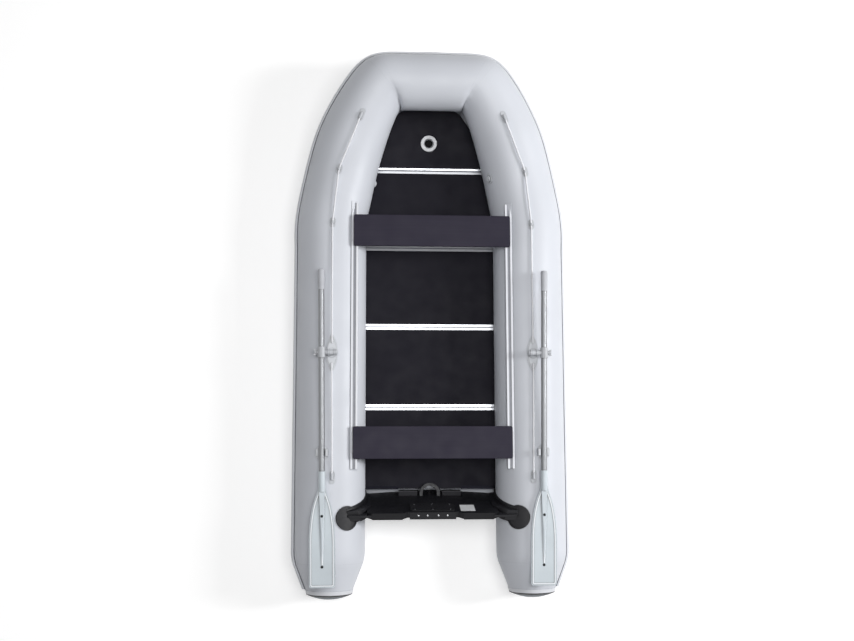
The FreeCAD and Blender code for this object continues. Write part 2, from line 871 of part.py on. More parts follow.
# Outline of the bow board: share of its length, share of the floor's half width.
BOW_BOARD_SHARES = ((0.00, 0.99), (0.36, 0.78), (0.72, 0.60), (0.93, 0.46), (0.985, 0.36))


def bow_board_turn():
    return Rotation(ACROSS, math.degrees(math.asin(number(CLIMB_SINE))))


def make_bow_board(tools):
    """The foremost board climbs towards the bow and carries the valve's access ring."""
    side = [(f"{BOARD_EDGE} * {wide}", f"bow_board_length * {along}")
            for along, wide in BOW_BOARD_SHARES]
    points = side + [("0", "bow_board_length")]
    points += [(f"-{x}", y) for x, y in reversed(side)]
    body = board_body("board_bow", points)
    round_edges(body, lambda edge: runs_along(UP)(edge)
                and edge.CenterOfMass.y > size("bow_board_length") / 2, "board_corner")
    hole = circle(sketch(body, "XY_Plane"), "0", "valve_hole_set", "valve_hole_radius")
    pocket(body, hole)
    place(body, "0", BOW_BOARD_START, BOW_BOARD_LEVEL, bow_board_turn())
    DOCUMENT.recompute()
    node(cut("floor_board_bow", body, tools["sides"]))


def joiner_points(climbing):
    """The H section: a slot for a board on each side. The foremost one's front half climbs."""
    half = "joiner_width / 2"
    wall = "joiner_wall"
    web = "joiner_web / 2"
    low = "-board_slot / 4"
    high = "(board_thickness + board_slot / 4)"
    top = f"({high} + {wall})"
    groove = "joiner_groove_width / 2"
    fore = [(half, f"{low} - {wall}"), (half, low), (web, low), (web, high), (half, high),
            (half, top), (groove, top), ("joiner_web / 4", f"{top} - joiner_groove")]
    aft = [(f"-({y})", z) for y, z in reversed(fore)]
    if climbing:
        sine, cosine = CLIMB_SINE, CLIMB_COSINE
        hinge = f"board_thickness * {sine}"
        fore = [(f"{hinge} + ({y}) * {cosine} - ({z}) * {sine}",
                 f"({y}) * {sine} + ({z}) * {cosine}") for y, z in fore]
    return fore + aft


def make_joiners(tools):
    """Aluminium H sections that clip the floor boards end to end."""
    things = []
    for index in range(LAST_JOINER + 1):
        climbs = index == LAST_JOINER
        body = new_body(f"joiner_{index}")
        drawing = outline(sketch(body, "YZ_Plane"), joiner_points(climbs))
        reach = f"2 * ({STRINGER_OUTER} - stringer_wall - stringer_flange - joiner_end_gap)"
        pad(body, drawing, reach, both_ways=True)
        place(body, "0", joiner_y(index), "floor_height")
        things.append(cut(f"joiner_cut_{index}", body, tools["sides"]) if climbs else body)
    edge = make_stern_edge()
    group("floor_joiners", things + [edge, mirror("stern_edge_port", edge)])


def make_stern_edge():
    """A channel over the floor's stern edge, from beside the floor stop to the stringer."""
    low = "-board_slot / 4"
    high = "(board_thickness + board_slot / 4)"
    web = "joiner_web / 2"
    half = "joiner_width / 2"
    points = [(f"-{web}", f"{low} - joiner_wall"), (half, f"{low} - joiner_wall"), (half, low),
              (web, low), (web, high), (half, high), (half, f"{high} + joiner_wall"),
              (f"-{web}", f"{high} + joiner_wall")]
    inner = "(stop_inner + stop_length + stern_edge_gap)"
    outer = f"({STRINGER_OUTER} - stringer_wall - stringer_flange - joiner_end_gap)"
    body = new_body("stern_edge_starboard")
    drawing = outline(sketch(body, "YZ_Plane"), points)
    pad(body, drawing, f"{outer} - {inner}")
    return place(body, inner, f"{FLOOR_STERN} - {BOARD_GAP}", "floor_height")


def make_stringers(tools):
    """Channels that stiffen the floor's edges along the straight tubes."""
    wall = "stringer_wall"
    play = "stringer_play / 2"
    outer = STRINGER_OUTER
    inner = f"({outer} - {wall} - stringer_flange)"
    low = f"-{play}"
    high = f"(board_thickness + {play})"
    points = [(inner, f"{low} - {wall}"), (outer, f"{low} - {wall}"), (outer, f"{high} + {wall}"),
              (inner, f"{high} + {wall}"), (inner, high), (f"{outer} - {wall}", high),
              (f"{outer} - {wall}", low), (inner, low)]
    body = new_body("stringer_starboard")
    drawing = outline(sketch(body, "XZ_Plane"), points)
    stern = f"({FLOOR_STERN} + stringer_end_gap)"
    length = f"{joiner_y(LAST_JOINER - 1)} + stringer_reach - {stern}"
    pad(body, drawing, length, reverse=True)
    place(body, "0", stern, "floor_height")
    trimmed = cut("stringer_trimmed", body, tools["sides"])
    DOCUMENT.recompute()
    group("floor_stringers", [trimmed, mirror("stringer_port", trimmed)])


def turned(profile):
    """A solid of revolution about Z from (radius, height) corners."""
    points = [Vector(radius, 0, height) for radius, height in profile]
    wire = Part.makePolygon(points + [points[0]])
    return Part.Face(wire).revolve(Vector(), UP, 360)


def make_keel_valve():
    """Access ring in the bow board, and the air keel's valve under it."""
    thick = size("board_thickness")
    fit = size("skin_fit")
    hole = size("valve_hole_radius") - fit
    bore = size("ring_bore_radius")
    edge = size("ring_radius")
    top = thick + size("ring_height")
    bevel = size("ring_chamfer")
    ring = turned([(bore, 0), (hole, 0), (hole, thick + fit), (edge, thick + fit),
                   (edge, top - bevel), (edge - bevel, top), (bore + bevel, top),
                   (bore, top - bevel)])
    plug = size("plug_radius")
    tall = size("plug_height")
    foot = -size("joiner_wall") - size("board_slot") + fit
    body = turned([(0, foot), (plug, foot), (plug, tall / 2), (plug * 3 / 4, tall * 2 / 3),
                   (plug * 3 / 4, tall), (plug / 4, tall), (plug / 4, tall * 3 / 4),
                   (0, tall * 3 / 4)])
    turn = bow_board_turn()
    start = Vector(0, number(BOW_BOARD_START), number(BOW_BOARD_LEVEL))
    spot = start + turn.multVec(Vector(0, size("valve_hole_set"), 0))
    for label, shape in (("valve_ring", ring), ("keel_valve", body)):
        thing = feature(label, shape)
        thing.Placement = Placement(spot, turn)
        node(thing)


# Transom and what is fixed to it. Its own frame: u across, v ahead of the front face, w up it.

def transom_frame():
    foot = number("keel_gap + skin_thickness + transom_seat")
    return Placement(Vector(0, number(TRANSOM_Y), foot),
                     Rotation(ACROSS, size("transom_rake")))


def on_transom(label, shape):
    """Seats a shape that is modelled in the transom's frame."""
    thing = feature(label, shape)
    thing.Placement = transom_frame().multiply(shape.Placement)
    return thing


def prism(points, low, high, axis):
    """A straight prism between two levels of an axis, from (a, b) corners."""
    maker = {
        "x": lambda a, b: Vector(low, a, b),
        "y": lambda a, b: Vector(a, low, b),
        "z": lambda a, b: Vector(a, b, low),
    }[axis]
    line = [maker(a, b) for a, b in points]
    way = {"x": ACROSS, "y": AHEAD, "z": UP}[axis] * (high - low)
    return Part.Face(Part.makePolygon(line + [line[0]])).extrude(way)


def transom_points():
    half = number(TRANSOM_HALF)
    tall = size("transom_height")
    dip = size("transom_dip")
    flat = size("transom_dip_half")
    slope = size("transom_dip_slope")
    corner = size("transom_corner")
    right = [(half, -size("overrun")), (half, tall - corner), (half - corner, tall),
             (flat + slope, tall), (flat, tall - dip)]
    return right + [(-x, w) for x, w in reversed(right)]


def make_transom():
    board = prism(transom_points(), -size("transom_thickness"), 0, "y")
    drain = Part.makeCylinder(size("drain_radius"), 2 * size("overrun"),
                              Vector(0, -size("overrun") - size("transom_thickness") / 2,
                                     size("drain_height")), AHEAD)
    board = board.cut(drain)
    board.Placement = transom_frame()
    node(feature("transom_board", board.cut(under_skin()).removeSplitter()))
    make_trims()
    make_pads()
    make_foot()


def make_trims():
    """Rubber channels over the top edge, each side of the motor's place."""
    wall = size("trim_wall")
    deep = size("trim_height")
    tall = size("transom_height")
    thick = size("transom_thickness")
    inner = size("transom_dip_half") + size("transom_dip_slope") + wall
    outer = number(TRANSOM_HALF) - size("transom_corner") - wall
    fit = size("skin_fit")
    block = Part.makeBox(outer - inner, thick + 2 * (wall + fit), deep + wall,
                         Vector(inner, -thick - wall - fit, tall - deep))
    slot = Part.makeBox(outer - inner, thick + 2 * fit, deep + fit,
                        Vector(inner, -thick - fit, tall - deep))
    shape = block.cut(slot)
    twin = shape.mirror(Vector(), ACROSS)
    node(on_transom("transom_trims", Part.makeCompound([shape, twin])))


def rounded_plate(width, height, low, high, corner):
    """A plate across the transom with rounded corners, bottom edge at zero."""
    half = width / 2
    box = Part.makeBox(width, high - low, height, Vector(-half, low, 0))
    upright = [edge for edge in box.Edges if runs_along(AHEAD)(edge)]
    return box.makeFillet(corner, upright)


def make_pads():
    """Wear plates for the outboard motor's clamps, and the cap over the edge between them."""
    fit = size("skin_fit")
    thick = size("transom_thickness")
    sill = size("transom_height") - size("transom_dip")
    corner = size("pad_corner")
    outer = rounded_plate(size("outer_pad_width"), size("outer_pad_height"),
                          -thick - fit - size("outer_pad_thickness"), -thick - fit, corner)
    outer.translate(Vector(0, 0, sill - size("outer_pad_height")))
    node(on_transom("motor_pad_outer", outer))
    inner = rounded_plate(size("inner_pad_width"), size("inner_pad_height"), fit,
                          fit + size("inner_pad_thickness"), corner)
    inner.translate(Vector(0, 0, sill - size("inner_pad_drop") - size("inner_pad_height")))
    node(on_transom("motor_pad_inner", inner))
    cap_half = size("outer_pad_width") / 2
    cap = Part.makeBox(2 * cap_half, thick + size("outer_pad_thickness"), size("pad_cap_height"),
                       Vector(-cap_half, -thick - size("outer_pad_thickness"), sill + fit))
    node(on_transom("motor_pad_cap", cap))


def floor_level():
    """How far up the transom's face the floor lies."""
    foot = number("keel_gap + skin_thickness + transom_seat")
    return (size("floor_height") - foot) / math.cos(math.radians(size("transom_rake")))


def make_foot():
    """Blocks that stop the floor, and the arch round the drain plug."""
    fit = size("skin_fit")
    level = floor_level()
    block = Part.makeBox(size("stop_length"), size("stop_depth"), size("stop_height"),
                         Vector(size("stop_inner"), fit, level))
    ahead = [edge for edge in block.Edges
             if edge.CenterOfMass.y > size("stop_depth") * 2 / 3 and not runs_along(UP)(edge)]
    block = block.makeFillet(size("stop_corner"), ahead)
    twin = block.mirror(Vector(), ACROSS)
    node(on_transom("floor_stops", Part.makeCompound([block, twin])))
    make_arch()
    bore = size("drain_radius")
    thick = size("transom_thickness")
    plug = Part.makeCylinder(bore - fit, thick, Vector(0, -thick, 0), AHEAD)
    plug = plug.fuse(Part.makeCylinder(size("plug_flange"), size("plug_reach") / 3,
                                       Vector(0, fit, 0), AHEAD))
    plug = plug.fuse(Part.makeCylinder(bore - fit, fit, Vector(), AHEAD))
    plug = plug.fuse(Part.makeCylinder(size("plug_knob"), size("plug_reach"),
                                       Vector(0, fit, 0), AHEAD)).removeSplitter()
    plug.translate(Vector(0, 0, size("drain_height")))
    node(on_transom("drain_plug", plug))


def make_arch():
    """A raised U on the floor round the drain's notch, its legs back against the transom."""
    fit = size("skin_fit")
    tall = size("arch_height")
    leg = size("overrun")
    base = Vector(0, number(f"{TRANSOM_Y} - arch_set"), number(FLOOR_TOP) + fit)

    def slab(reach):
        half = Part.makeCylinder(reach, tall, Vector(), UP, 180)
        return half.fuse(Part.makeBox(2 * reach, leg, tall, Vector(-reach, -leg, 0)))

    outer = slab(size("arch_radius")).removeSplitter()
    crest = [edge for edge in outer.Edges
             if edge.BoundBox.ZMin > tall / 2 and edge.BoundBox.YLength > fit]
    outer = outer.makeFillet(size("stop_corner"), crest)
    shape = outer.cut(slab(size("arch_radius") - size("arch_wall")))
    shape.translate(base)
    half = number(TRANSOM_HALF)
    board = Part.makeBox(2 * half, size("transom_thickness") + fit, size("transom_height"),
                         Vector(-half, -size("transom_thickness"), 0))
    board.Placement = transom_frame().multiply(board.Placement)
    node(feature("drain_arch", shape.cut(board)))


# The holder's flange: its reach ahead of the board's middle at its foot and at its head, as
# shares of its spread, and the places of its two ribs, as shares of that reach.
HOLDER_REACH_SHARES = (1.45, 0.85)
HOLDER_RIB_SHARES = (0.94, 0.66)


def make_holders():
    """Moulded corners that carry the transom on the tubes: a ribbed flange on the tube with a
    round head, a channel round the board's edge, a web between them and an ear on top."""
    fit = size("skin_fit")
    radius = size("tube_radius")
    skin = size("holder_skin")
    offset = size("tube_offset")
    thick = size("transom_thickness")
    spread = size("holder_spread")
    web_half = size("holder_web_half")
    rise = size("holder_rib_rise")
    lip = size("holder_lip")
    half = number(TRANSOM_HALF)
    tall = size("transom_height")
    far = number("overall_length / 2")
    back = -thick / 2
    frame = transom_frame()
    lean = math.radians(size("holder_disc_lean"))
    inner = half - size("holder_grip")
    crown = offset - radius * math.sin(lean)
    foot = size("holder_foot")
    head = tall + 2 * skin
    low, high = (share * spread for share in HOLDER_REACH_SHARES)
    band = prism([(back - spread, foot), (back + low, foot), (back + high, head),
                  (back - spread, head)], inner, crown, "x")
    ribs = []
    for share in HOLDER_RIB_SHARES:
        spots = [(back + low * share, foot), (back + high * share, head)]
        spots += [(v - size("holder_rib"), w) for v, w in reversed(spots)]
        ribs.append(prism(spots, inner, crown, "x"))
    web = prism([(inner, back - thick / 2 - lip), (inner, back + thick / 2 + lip),
                 (half + size("holder_flare"), back + web_half),
                 (offset - radius / 2, back + web_half),
                 (offset - radius / 2, back - web_half),
                 (half + size("holder_flare"), back - web_half)],
                foot, tall - size("trim_height") - size("trim_wall"), "z")
    ear_half = size("holder_ear") / 2
    ear = prism([(half - size("holder_grip"), tall * 3 / 4),
                 (half - size("holder_grip"), tall + size("trim_wall")),
                 (half + size("holder_grip"), tall + size("trim_wall")),
                 (offset - radius / 2 - skin, tall - size("trim_wall")),
                 (offset - radius / 2, tall * 3 / 4)],
                back - ear_half, back + ear_half, "y")
    for shape in [band, web, ear] + ribs:
        shape.Placement = frame
    axis_start = Vector(offset, -far, radius)

    def over_tube(proud):
        return Part.makeCylinder(radius + proud, 2 * far, axis_start, AHEAD)

    radial = Vector(-math.sin(lean), 0, math.cos(lean))
    top = Vector(offset, 0, radius) + radial * radius
    rake = math.tan(math.radians(size("transom_rake")))
    top.y = frame.Base.y - (top.z - frame.Base.z) * rake + back - size("holder_disc_set")
    bury = size("overrun")

    def post(reach):
        return Part.makeCylinder(reach, 2 * bury, top - radial * bury, radial)

    disc = size("holder_disc_radius")
    rim = post(disc).cut(post(disc - size("holder_disc_rim")))
    proud = rim.fuse(ribs).common(over_tube(skin + rise))
    flange = band.fuse(post(disc)).common(over_tube(skin)).fuse(proud)
    web = web.common(over_tube(spread))
    board = Part.makeBox(2 * half + 2 * fit, thick + 2 * fit, tall + fit,
                         Vector(-half - fit, -thick - fit, 0))
    board.Placement = frame.multiply(board.Placement)
    shape = flange.fuse([web, ear.cut(board)])
    shape = shape.cut([board, over_tube(fit), under_skin()]).removeSplitter()
    solid = sorted(shape.Solids, key=lambda part: part.Volume)[-1]
    node(feature("transom_holder_starboard", solid))
    node(mirror("transom_holder_port", NODES["transom_holder_starboard"]))


# Seat rails and seats.

def make_rails(tools):
    """Grooved rails on a fabric strip along the tubes' upper inner sides."""
    half = "rail_width / 2"
    slot = "rail_groove / 2"
    points = [(f"-{half}", "-overrun"), (half, "-overrun"), (half, "0"),
              (slot, "0"), (slot, "-rail_groove_depth"), (f"-{slot}", "-rail_groove_depth"),
              (f"-{slot}", "0"), (f"-{half}", "0")]
    body = new_body("rail_blank")
    pad(body, outline(sketch(body, "XZ_Plane"), points), RAIL_LENGTH, reverse=True)
    place(body, RAIL_CENTRE, RAIL_STERN, RAIL_TOP)
    bed = side_tube("rail_bed", STARBOARD, "(skin_fit * 2 + rail_strip)")
    rail = node(cut("seat_rail_starboard", body, bed))
    window = add("Part::Box", "strip_window", Length="rail_width + 2 * strip_margin",
                 Width=f"{RAIL_LENGTH} + strip_margin", Height="tube_radius")
    place(window, f"{RAIL_CENTRE} - rail_width / 2 - strip_margin",
          f"{RAIL_STERN} - strip_margin / 2", "tube_radius")
    slab = add("Part::Common", "strip_slab")
    slab.Base = window
    slab.Tool = side_tube("strip_tool", STARBOARD, "(skin_fit + rail_strip)")
    strip = cut("rail_strip_starboard", slab, tools["starboard"])
    DOCUMENT.recompute()
    node(mirror("seat_rail_port", rail))
    group("rail_strips", [strip, mirror("rail_strip_port", strip)])


def make_seat(label, middle):
    """A bench board with rounded ends and edges, and the feet that slide in the rails."""
    body = new_body(label)
    half = SEAT_HALF
    wide = "seat_width / 2"
    points = [(f"-{half}", f"-{wide}"), (half, f"-{wide}"), (half, wide), (f"-{half}", wide)]
    pad(body, outline(sketch(body, "XY_Plane"), points), "seat_thickness")
    round_edges(body, runs_along(UP), "seat_corner")
    round_edges(body, lambda edge: not runs_along(UP)(edge)
                and edge.CenterOfMass.z > size("seat_thickness") / 2
                and edge.BoundBox.ZLength < size("seat_edge"), "seat_edge")
    place(body, "0", middle, f"{RAIL_TOP} + seat_lift")
    node(body)
    feet = []
    for name, side in SIDES:
        foot = new_body(f"{label}_foot_{name}")
        pad_half = "foot_width / 2"
        tongue = "foot_tongue / 2"
        profile = [(f"-{pad_half}", "foot_play"), (f"-{tongue}", "foot_play"),
                   (f"-{tongue}", "-foot_tongue_depth"), (tongue, "-foot_tongue_depth"),
                   (tongue, "foot_play"), (pad_half, "foot_play"), (pad_half, "seat_lift"),
                   (f"-{pad_half}", "seat_lift")]
        pad(foot, outline(sketch(foot, "XZ_Plane"), profile), "foot_length", both_ways=True)
        x = RAIL_CENTRE if side == STARBOARD else f"-{RAIL_CENTRE}"
        place(foot, x, middle, RAIL_TOP)
        feet.append(foot)
    group(label + "_feet", feet)


# Oarlocks and oars. Their own frame is at the lift pin, x outboard, y towards the grip.

def lock_crown():
    """Height of the tube under the oarlock's centre."""
    sink = size("tube_radius") ** 2 - (size("tube_offset") - size("lock_x")) ** 2
    return size("tube_radius") + math.sqrt(sink)


def stadium(length, width, low, high):
    """A prism with round ends, long way along y."""
    half = (length - width) / 2
    box = Part.makeBox(width, 2 * half, high - low, Vector(-width / 2, -half, low))
    ends = [Part.makeCylinder(width / 2, high - low, Vector(0, spot, low)) for spot in
            (-half, half)]
    return box.fuse(ends).removeSplitter()


def leaf(length, width, low, high):
    """A prism of two arcs that meet in points, long way along y."""
    tips = [Vector(0, way * length / 2, low) for way in (-1, 1)]
    sides = [Part.Arc(tips[0], Vector(way * width / 2, 0, low), tips[1]).toShape()
             for way in (-1, 1)]
    return Part.Face(Part.Wire(Part.__sortEdges__(sides))).extrude(UP * (high - low))


def make_lock_pad(tube):
    """The stepped pad on the tube: a spindle for the swivel, and an eye for the lifeline at
    each end."""
    top = size("lock_pad_top")
    length = size("lock_pad_length")
    width = size("lock_pad_width")
    edge = size("lock_pad_edge")
    bow = (length ** 2 + width ** 2) / (4 * width)
    skirt = leaf(length, width, -size("overrun"), top / 2)
    table = leaf(length - 4 * edge * bow / length, width - 2 * edge, -size("overrun"), top)
    shape = skirt.fuse(table)
    rope = size("rope_radius") + size("rope_fit")
    for way in (-1, 1):
        eye = Part.makeCylinder(rope, 2 * size("overrun"),
                                Vector(0, way * size("lock_rope_set"), -size("overrun")))
        shape = shape.cut(eye)
    shape = shape.fuse(Part.makeCylinder(size("lock_spindle_radius"),
                                         size("lock_table_height") * 2, Vector(0, 0, top)))
    shape.translate(Vector(size("lock_x"), number(LOCK_Y), lock_crown()))
    return shape.cut(tube).removeSplitter()


def make_swivel():
    """A turntable on the spindle, a saddle, and the cross boss that holds the lift pin."""
    top = size("lock_pad_top")
    fit = size("side_play")
    table = size("lock_table_radius")
    high = size("lock_pivot_height")
    base = Part.makeCylinder(table, size("lock_table_height"), Vector(0, 0, top + fit))
    width = size("lock_saddle_width")
    boss = size("lock_boss_radius")
    saddle = Part.makeBox(width, 2 * boss, high - top - fit,
                          Vector(-width / 2, -boss, top + fit))
    cross = Part.makeCylinder(boss, size("lock_boss_length"),
                              Vector(-size("lock_boss_length") / 2, 0, high), ACROSS)
    collar = size("lock_knob_length") / 4
    shape = base.fuse([saddle, cross])
    for spot in (-width / 2 - collar, width / 2):
        ring = Part.makeCylinder(boss * 4 / 3, collar, Vector(spot, 0, high), ACROSS)
        shape = shape.fuse(ring)
    hole = Part.makeCylinder(size("lock_spindle_radius") + size("running_fit"),
                             size("lock_table_height") * 2 + 2 * fit, Vector(0, 0, top))
    pin = Part.makeCylinder(size("lock_pin_radius") + size("running_fit"), size("overrun") * 3,
                            Vector(-size("lock_boss_length") / 2 + collar, 0, high), ACROSS)
    shape = shape.cut(hole).cut(pin).removeSplitter()
    shape.translate(Vector(size("lock_x"), number(LOCK_Y), lock_crown()))
    return shape


def lift_frame():
    """Place of the oar's own frame: at the lift pin over the shaft, toed in and drooping."""
    spot = Vector(size("lock_x") + size("oar_reach"), number(LOCK_Y),
                  lock_crown() + size("lock_pivot_height"))
    turn = Rotation(UP, -size("oar_toe")).multiply(Rotation(ACROSS, size("oar_droop")))
    return Placement(spot, turn)


def make_pin():
    """The lift pin, from inside the boss through the clamp to its winged knob."""
    reach = size("oar_reach")
    start = -reach - size("lock_boss_length") / 2 + size("lock_knob_length") / 2
    end = size("shaft_radius") + size("clamp_wall") + size("side_play")
    pin = Part.makeCylinder(size("lock_pin_radius"), end - start, Vector(start, 0, 0), ACROSS)
    radius = size("lock_knob_radius")
    long = size("lock_knob_length")
    span = size("lock_wing_span") / 2
    wall = size("lock_wing_wall") / 2
    hub = Part.makeCylinder(radius, long * 3 / 4, Vector(end, 0, 0), ACROSS)
    right = [(end, radius), (end + long / 2, span), (end + long, span),
             (end + long * 3 / 4, radius / 2)]
    wings = prism(right + [(x, -y) for x, y in reversed(right)], -wall, wall, "z")
    shape = pin.fuse([hub, wings]).removeSplitter()
    frame = lift_frame()
    shape.translate(frame.Base)
    return shape


def pin_hole(reach):
    """The lift pin's running hole, level across the toed-in oar, in the oar's frame."""
    way = lift_frame().Rotation.inverted().multVec(ACROSS)
    return Part.makeCylinder(size("lock_pin_radius") + size("running_fit"), 2 * reach,
                             -way * reach, way)


def oar_cylinder(radius, low, high):
    return Part.makeCylinder(radius, high - low, Vector(0, low, 0), AHEAD)


def make_clamp():
    """A split collar round the shaft with a cheek on the pin's side."""
    long = size("clamp_length") / 2
    outer = size("shaft_radius") + size("clamp_wall")
    shape = oar_cylinder(outer, -long, long)
    cheek = size("lock_boss_radius")
    start = -size("oar_reach") + size("lock_boss_length") / 2 + size("side_play")
    shape = shape.fuse(Part.makeCylinder(cheek, -start, Vector(start, 0, 0), ACROSS))
    outer_cheek = Part.makeCylinder(cheek, outer, Vector(), ACROSS)
    shape = shape.fuse(outer_cheek)
    shape = shape.cut(oar_cylinder(size("shaft_radius") + size("skin_fit"), -long * 2, long * 2))
    slit = Part.makeBox(size("clamp_gap"), long * 4, size("overrun"),
                        Vector(-size("clamp_gap") / 2, -long * 2, 0))
    return shape.cut([pin_hole(2 * size("overrun")), slit]).removeSplitter()


def make_shaft():
    """The loom, bored across for the lift pin."""
    shape = oar_cylinder(size("shaft_radius"), -size("neck_set") - size("neck_length") / 2,
                         size("grip_end") - size("grip_length") + size("grip_radius"))
    return shape.cut(pin_hole(size("overrun")))


def make_grip():
    """A moulded handle that swells towards its rounded end."""
    end = size("grip_end")
    start = end - size("grip_length")
    bore = size("shaft_radius") + size("skin_fit")
    wide = size("grip_radius")
    neck = size("grip_neck")
    seat = start + wide
    swell = end - size("grip_length") / 3
    profile = [(bore, start), (neck, start), (neck, start + wide / 2), (wide, swell),
               (wide, end - wide / 2), (wide / 2, end), (0, end), (0, seat), (bore, seat)]
    points = [Vector(radius, y, 0) for radius, y in profile]
    edges = [Part.makeLine(points[0], points[1]), Part.makeLine(points[1], points[2])]
    middle = (points[2] + points[3]) / 2 + Vector((wide - neck) / 6, 0, 0)
    edges += [Part.Arc(points[2], middle, points[3]).toShape(),
              Part.makeLine(points[3], points[4])]
    corner = (points[4] + points[5]) / 2 + Vector(wide / 6, wide / 9, 0)
    edges += [Part.Arc(points[4], corner, points[5]).toShape()]
    edges += [Part.makeLine(first, second) for first, second in
              zip(points[5:], points[6:] + points[:1])]
    return Part.Face(Part.Wire(edges)).revolve(Vector(), AHEAD, 360)


# The blade's edge: share of its length from the neck, share of its half width.
BLADE_SHARES = ((0.0, 0.26), (0.05, 0.30), (0.16, 0.58), (0.32, 0.86), (0.50, 0.99), (0.62, 1.0))

# The places of its two holes, as shares of the same length.
BLADE_HOLE_SHARES = (0.31, 0.80)


def blade_face(inset, level):
    """The blade's outline, drawn in by an inset, as a face at one level."""
    start = -size("neck_set") - size("neck_length")
    end = -size("blade_end")
    half = size("blade_width") / 2
    corner = size("blade_rim_set") - inset / 2
    run = start - end
    edge = [Vector(half * wide - inset, start - run * along, level)
            for along, wide in BLADE_SHARES]
    tip = end + inset
    curve = Part.BSplineCurve()
    curve.interpolate(edge)
    low = edge[-1]
    right = [curve.toShape(),
             Part.makeLine(low, Vector(low.x, tip + corner, level))]
    shrink = corner * (1 - math.sqrt(0.5))
    right.append(Part.Arc(Vector(low.x, tip + corner, level),
                          Vector(low.x - shrink, tip + shrink, level),
                          Vector(low.x - corner, tip, level)).toShape())
    left = [piece.mirror(Vector(), ACROSS) for piece in right]
    top = Part.makeLine(edge[0], Vector(-edge[0].x, edge[0].y, level))
    bottom = Part.makeLine(Vector(low.x - corner, tip, level), Vector(corner - low.x, tip, level))
    loop = Part.__sortEdges__(right + left + [top, bottom])
    return Part.Face(Part.Wire(loop))


def make_blade():
    """A flat blade with a raised rim line, a tapering spine and a socket for the shaft."""
    thick = size("blade_thickness")
    rim = size("blade_rim")
    inset = size("blade_rim_set")
    wide = size("blade_rim_width")
    plate = blade_face(0, -thick / 2).extrude(UP * thick)
    frame = blade_face(inset - wide, -rim).extrude(UP * rim * 2)
    frame = frame.cut(blade_face(inset, -rim).extrude(UP * rim * 2))
    neck = size("neck_radius")
    start = -size("neck_set")
    long = size("neck_length")
    socket = oar_cylinder(neck, start - long, start)
    run = size("blade_end") - size("neck_set") - long
    holes = [start - long - run * share for share in BLADE_HOLE_SHARES]
    spine_end = holes[-1] + 2 * size("blade_hole")
    spine = Part.makeCone(neck, size("blade_rib_end"), start - long - spine_end,
                          Vector(0, start - long, 0), -AHEAD)
    flat = size("blade_rib")
    trim = Part.makeBox(4 * neck, size("blade_end"), 2 * flat,
                        Vector(-2 * neck, -size("blade_end"), -flat))
    spine = spine.common(trim.fuse(oar_cylinder(neck, start - long - 2 * neck, start)))
    shape = plate.fuse([frame, socket, spine])
    for spot in holes:
        hole = Part.makeCylinder(size("blade_hole"), 2 * size("overrun"),
                                 Vector(0, spot, -size("overrun")))
        shape = shape.cut(hole)
    bore = oar_cylinder(size("shaft_radius") + size("skin_fit"), start - long / 2 - size("skin_fit"),
                        start + long)
    return shape.cut(bore).removeSplitter()


def make_clip(tube):
    """A cradle on the tube: a tall inboard finger and a low outboard lip for the shaft."""
    frame = lift_frame()
    spot = frame.multVec(Vector(0, -size("clip_set"), 0))
    radius = size("shaft_radius")
    play = size("clip_play")
    wall = size("clip_wall")
    long = size("clip_length")
    low = -radius - play
    base = stadium(size("clip_base_length"), size("clip_base_width"), -3 * size("overrun"),
                   low - size("clip_base_height") / 2)
    floor = Part.makeBox(2 * (radius + play) + 2 * wall, long, size("clip_base_height"),
                         Vector(-radius - play - wall, -long / 2, low - size("clip_base_height")))
    finger = Part.makeBox(wall, long, size("clip_finger") - low,
                          Vector(-radius - play - wall, -long / 2, low))
    lip = Part.makeBox(wall, long, size("clip_lip") - play,
                       Vector(radius + play, -long / 2, low))
    shape = base.fuse([floor, finger, lip])
    shape.translate(spot)
    return shape.cut(tube).removeSplitter()


def make_oars(tools):
    """Everything of one oar is made to starboard and mirrored to port."""
    tube = tools["starboard"].Shape
    frame = lift_frame()
    made = [("oarlock_swivel", make_swivel()), ("oarlock_pin", make_pin())]
    for label, shape in (("oar_clamp", make_clamp()), ("oar_shaft", make_shaft()),
                         ("oar_grip", make_grip()), ("oar_blade", make_blade())):
        shape.Placement = frame
        made.append((label, shape))
    for label, shape in made:
        piece = node(feature(label + "_starboard", shape))
        node(mirror(label + "_port", piece))
    lock_pad = feature("oarlock_pad_starboard", make_lock_pad(tube))
    group("oarlock_pads", [lock_pad, mirror("oarlock_pad_port", lock_pad)])
    clip = feature("clip_starboard", make_clip(tube))
    group("oar_clips", [clip, mirror("clip_port", clip)])


# Lifelines: places of their fittings, as shares of the bend's run and the tubes' offset.
GUIDE_SHARES = ((-0.03, 0.990), (0.345, 0.930))
BOW_TAB_SHARES = (0.690, 0.728)


def tube_height(x, y, tube):
    """Height of the tube's upper surface at a place seen from above."""
    ray = Part.makeLine(Vector(x, y, size("tube_radius")),
                        Vector(x, y, size("tube_radius") * 4))
    hit = ray.common(tube)
    return hit.BoundBox.ZMax


def spot_on_crown(shares, tube):
    along, across = shares
    x = size("tube_offset") * across
    y = number(f"{BEND_START} + bend_run * {along}")
    return Vector(x, y, tube_height(x, y, tube) + size("rope_lift"))


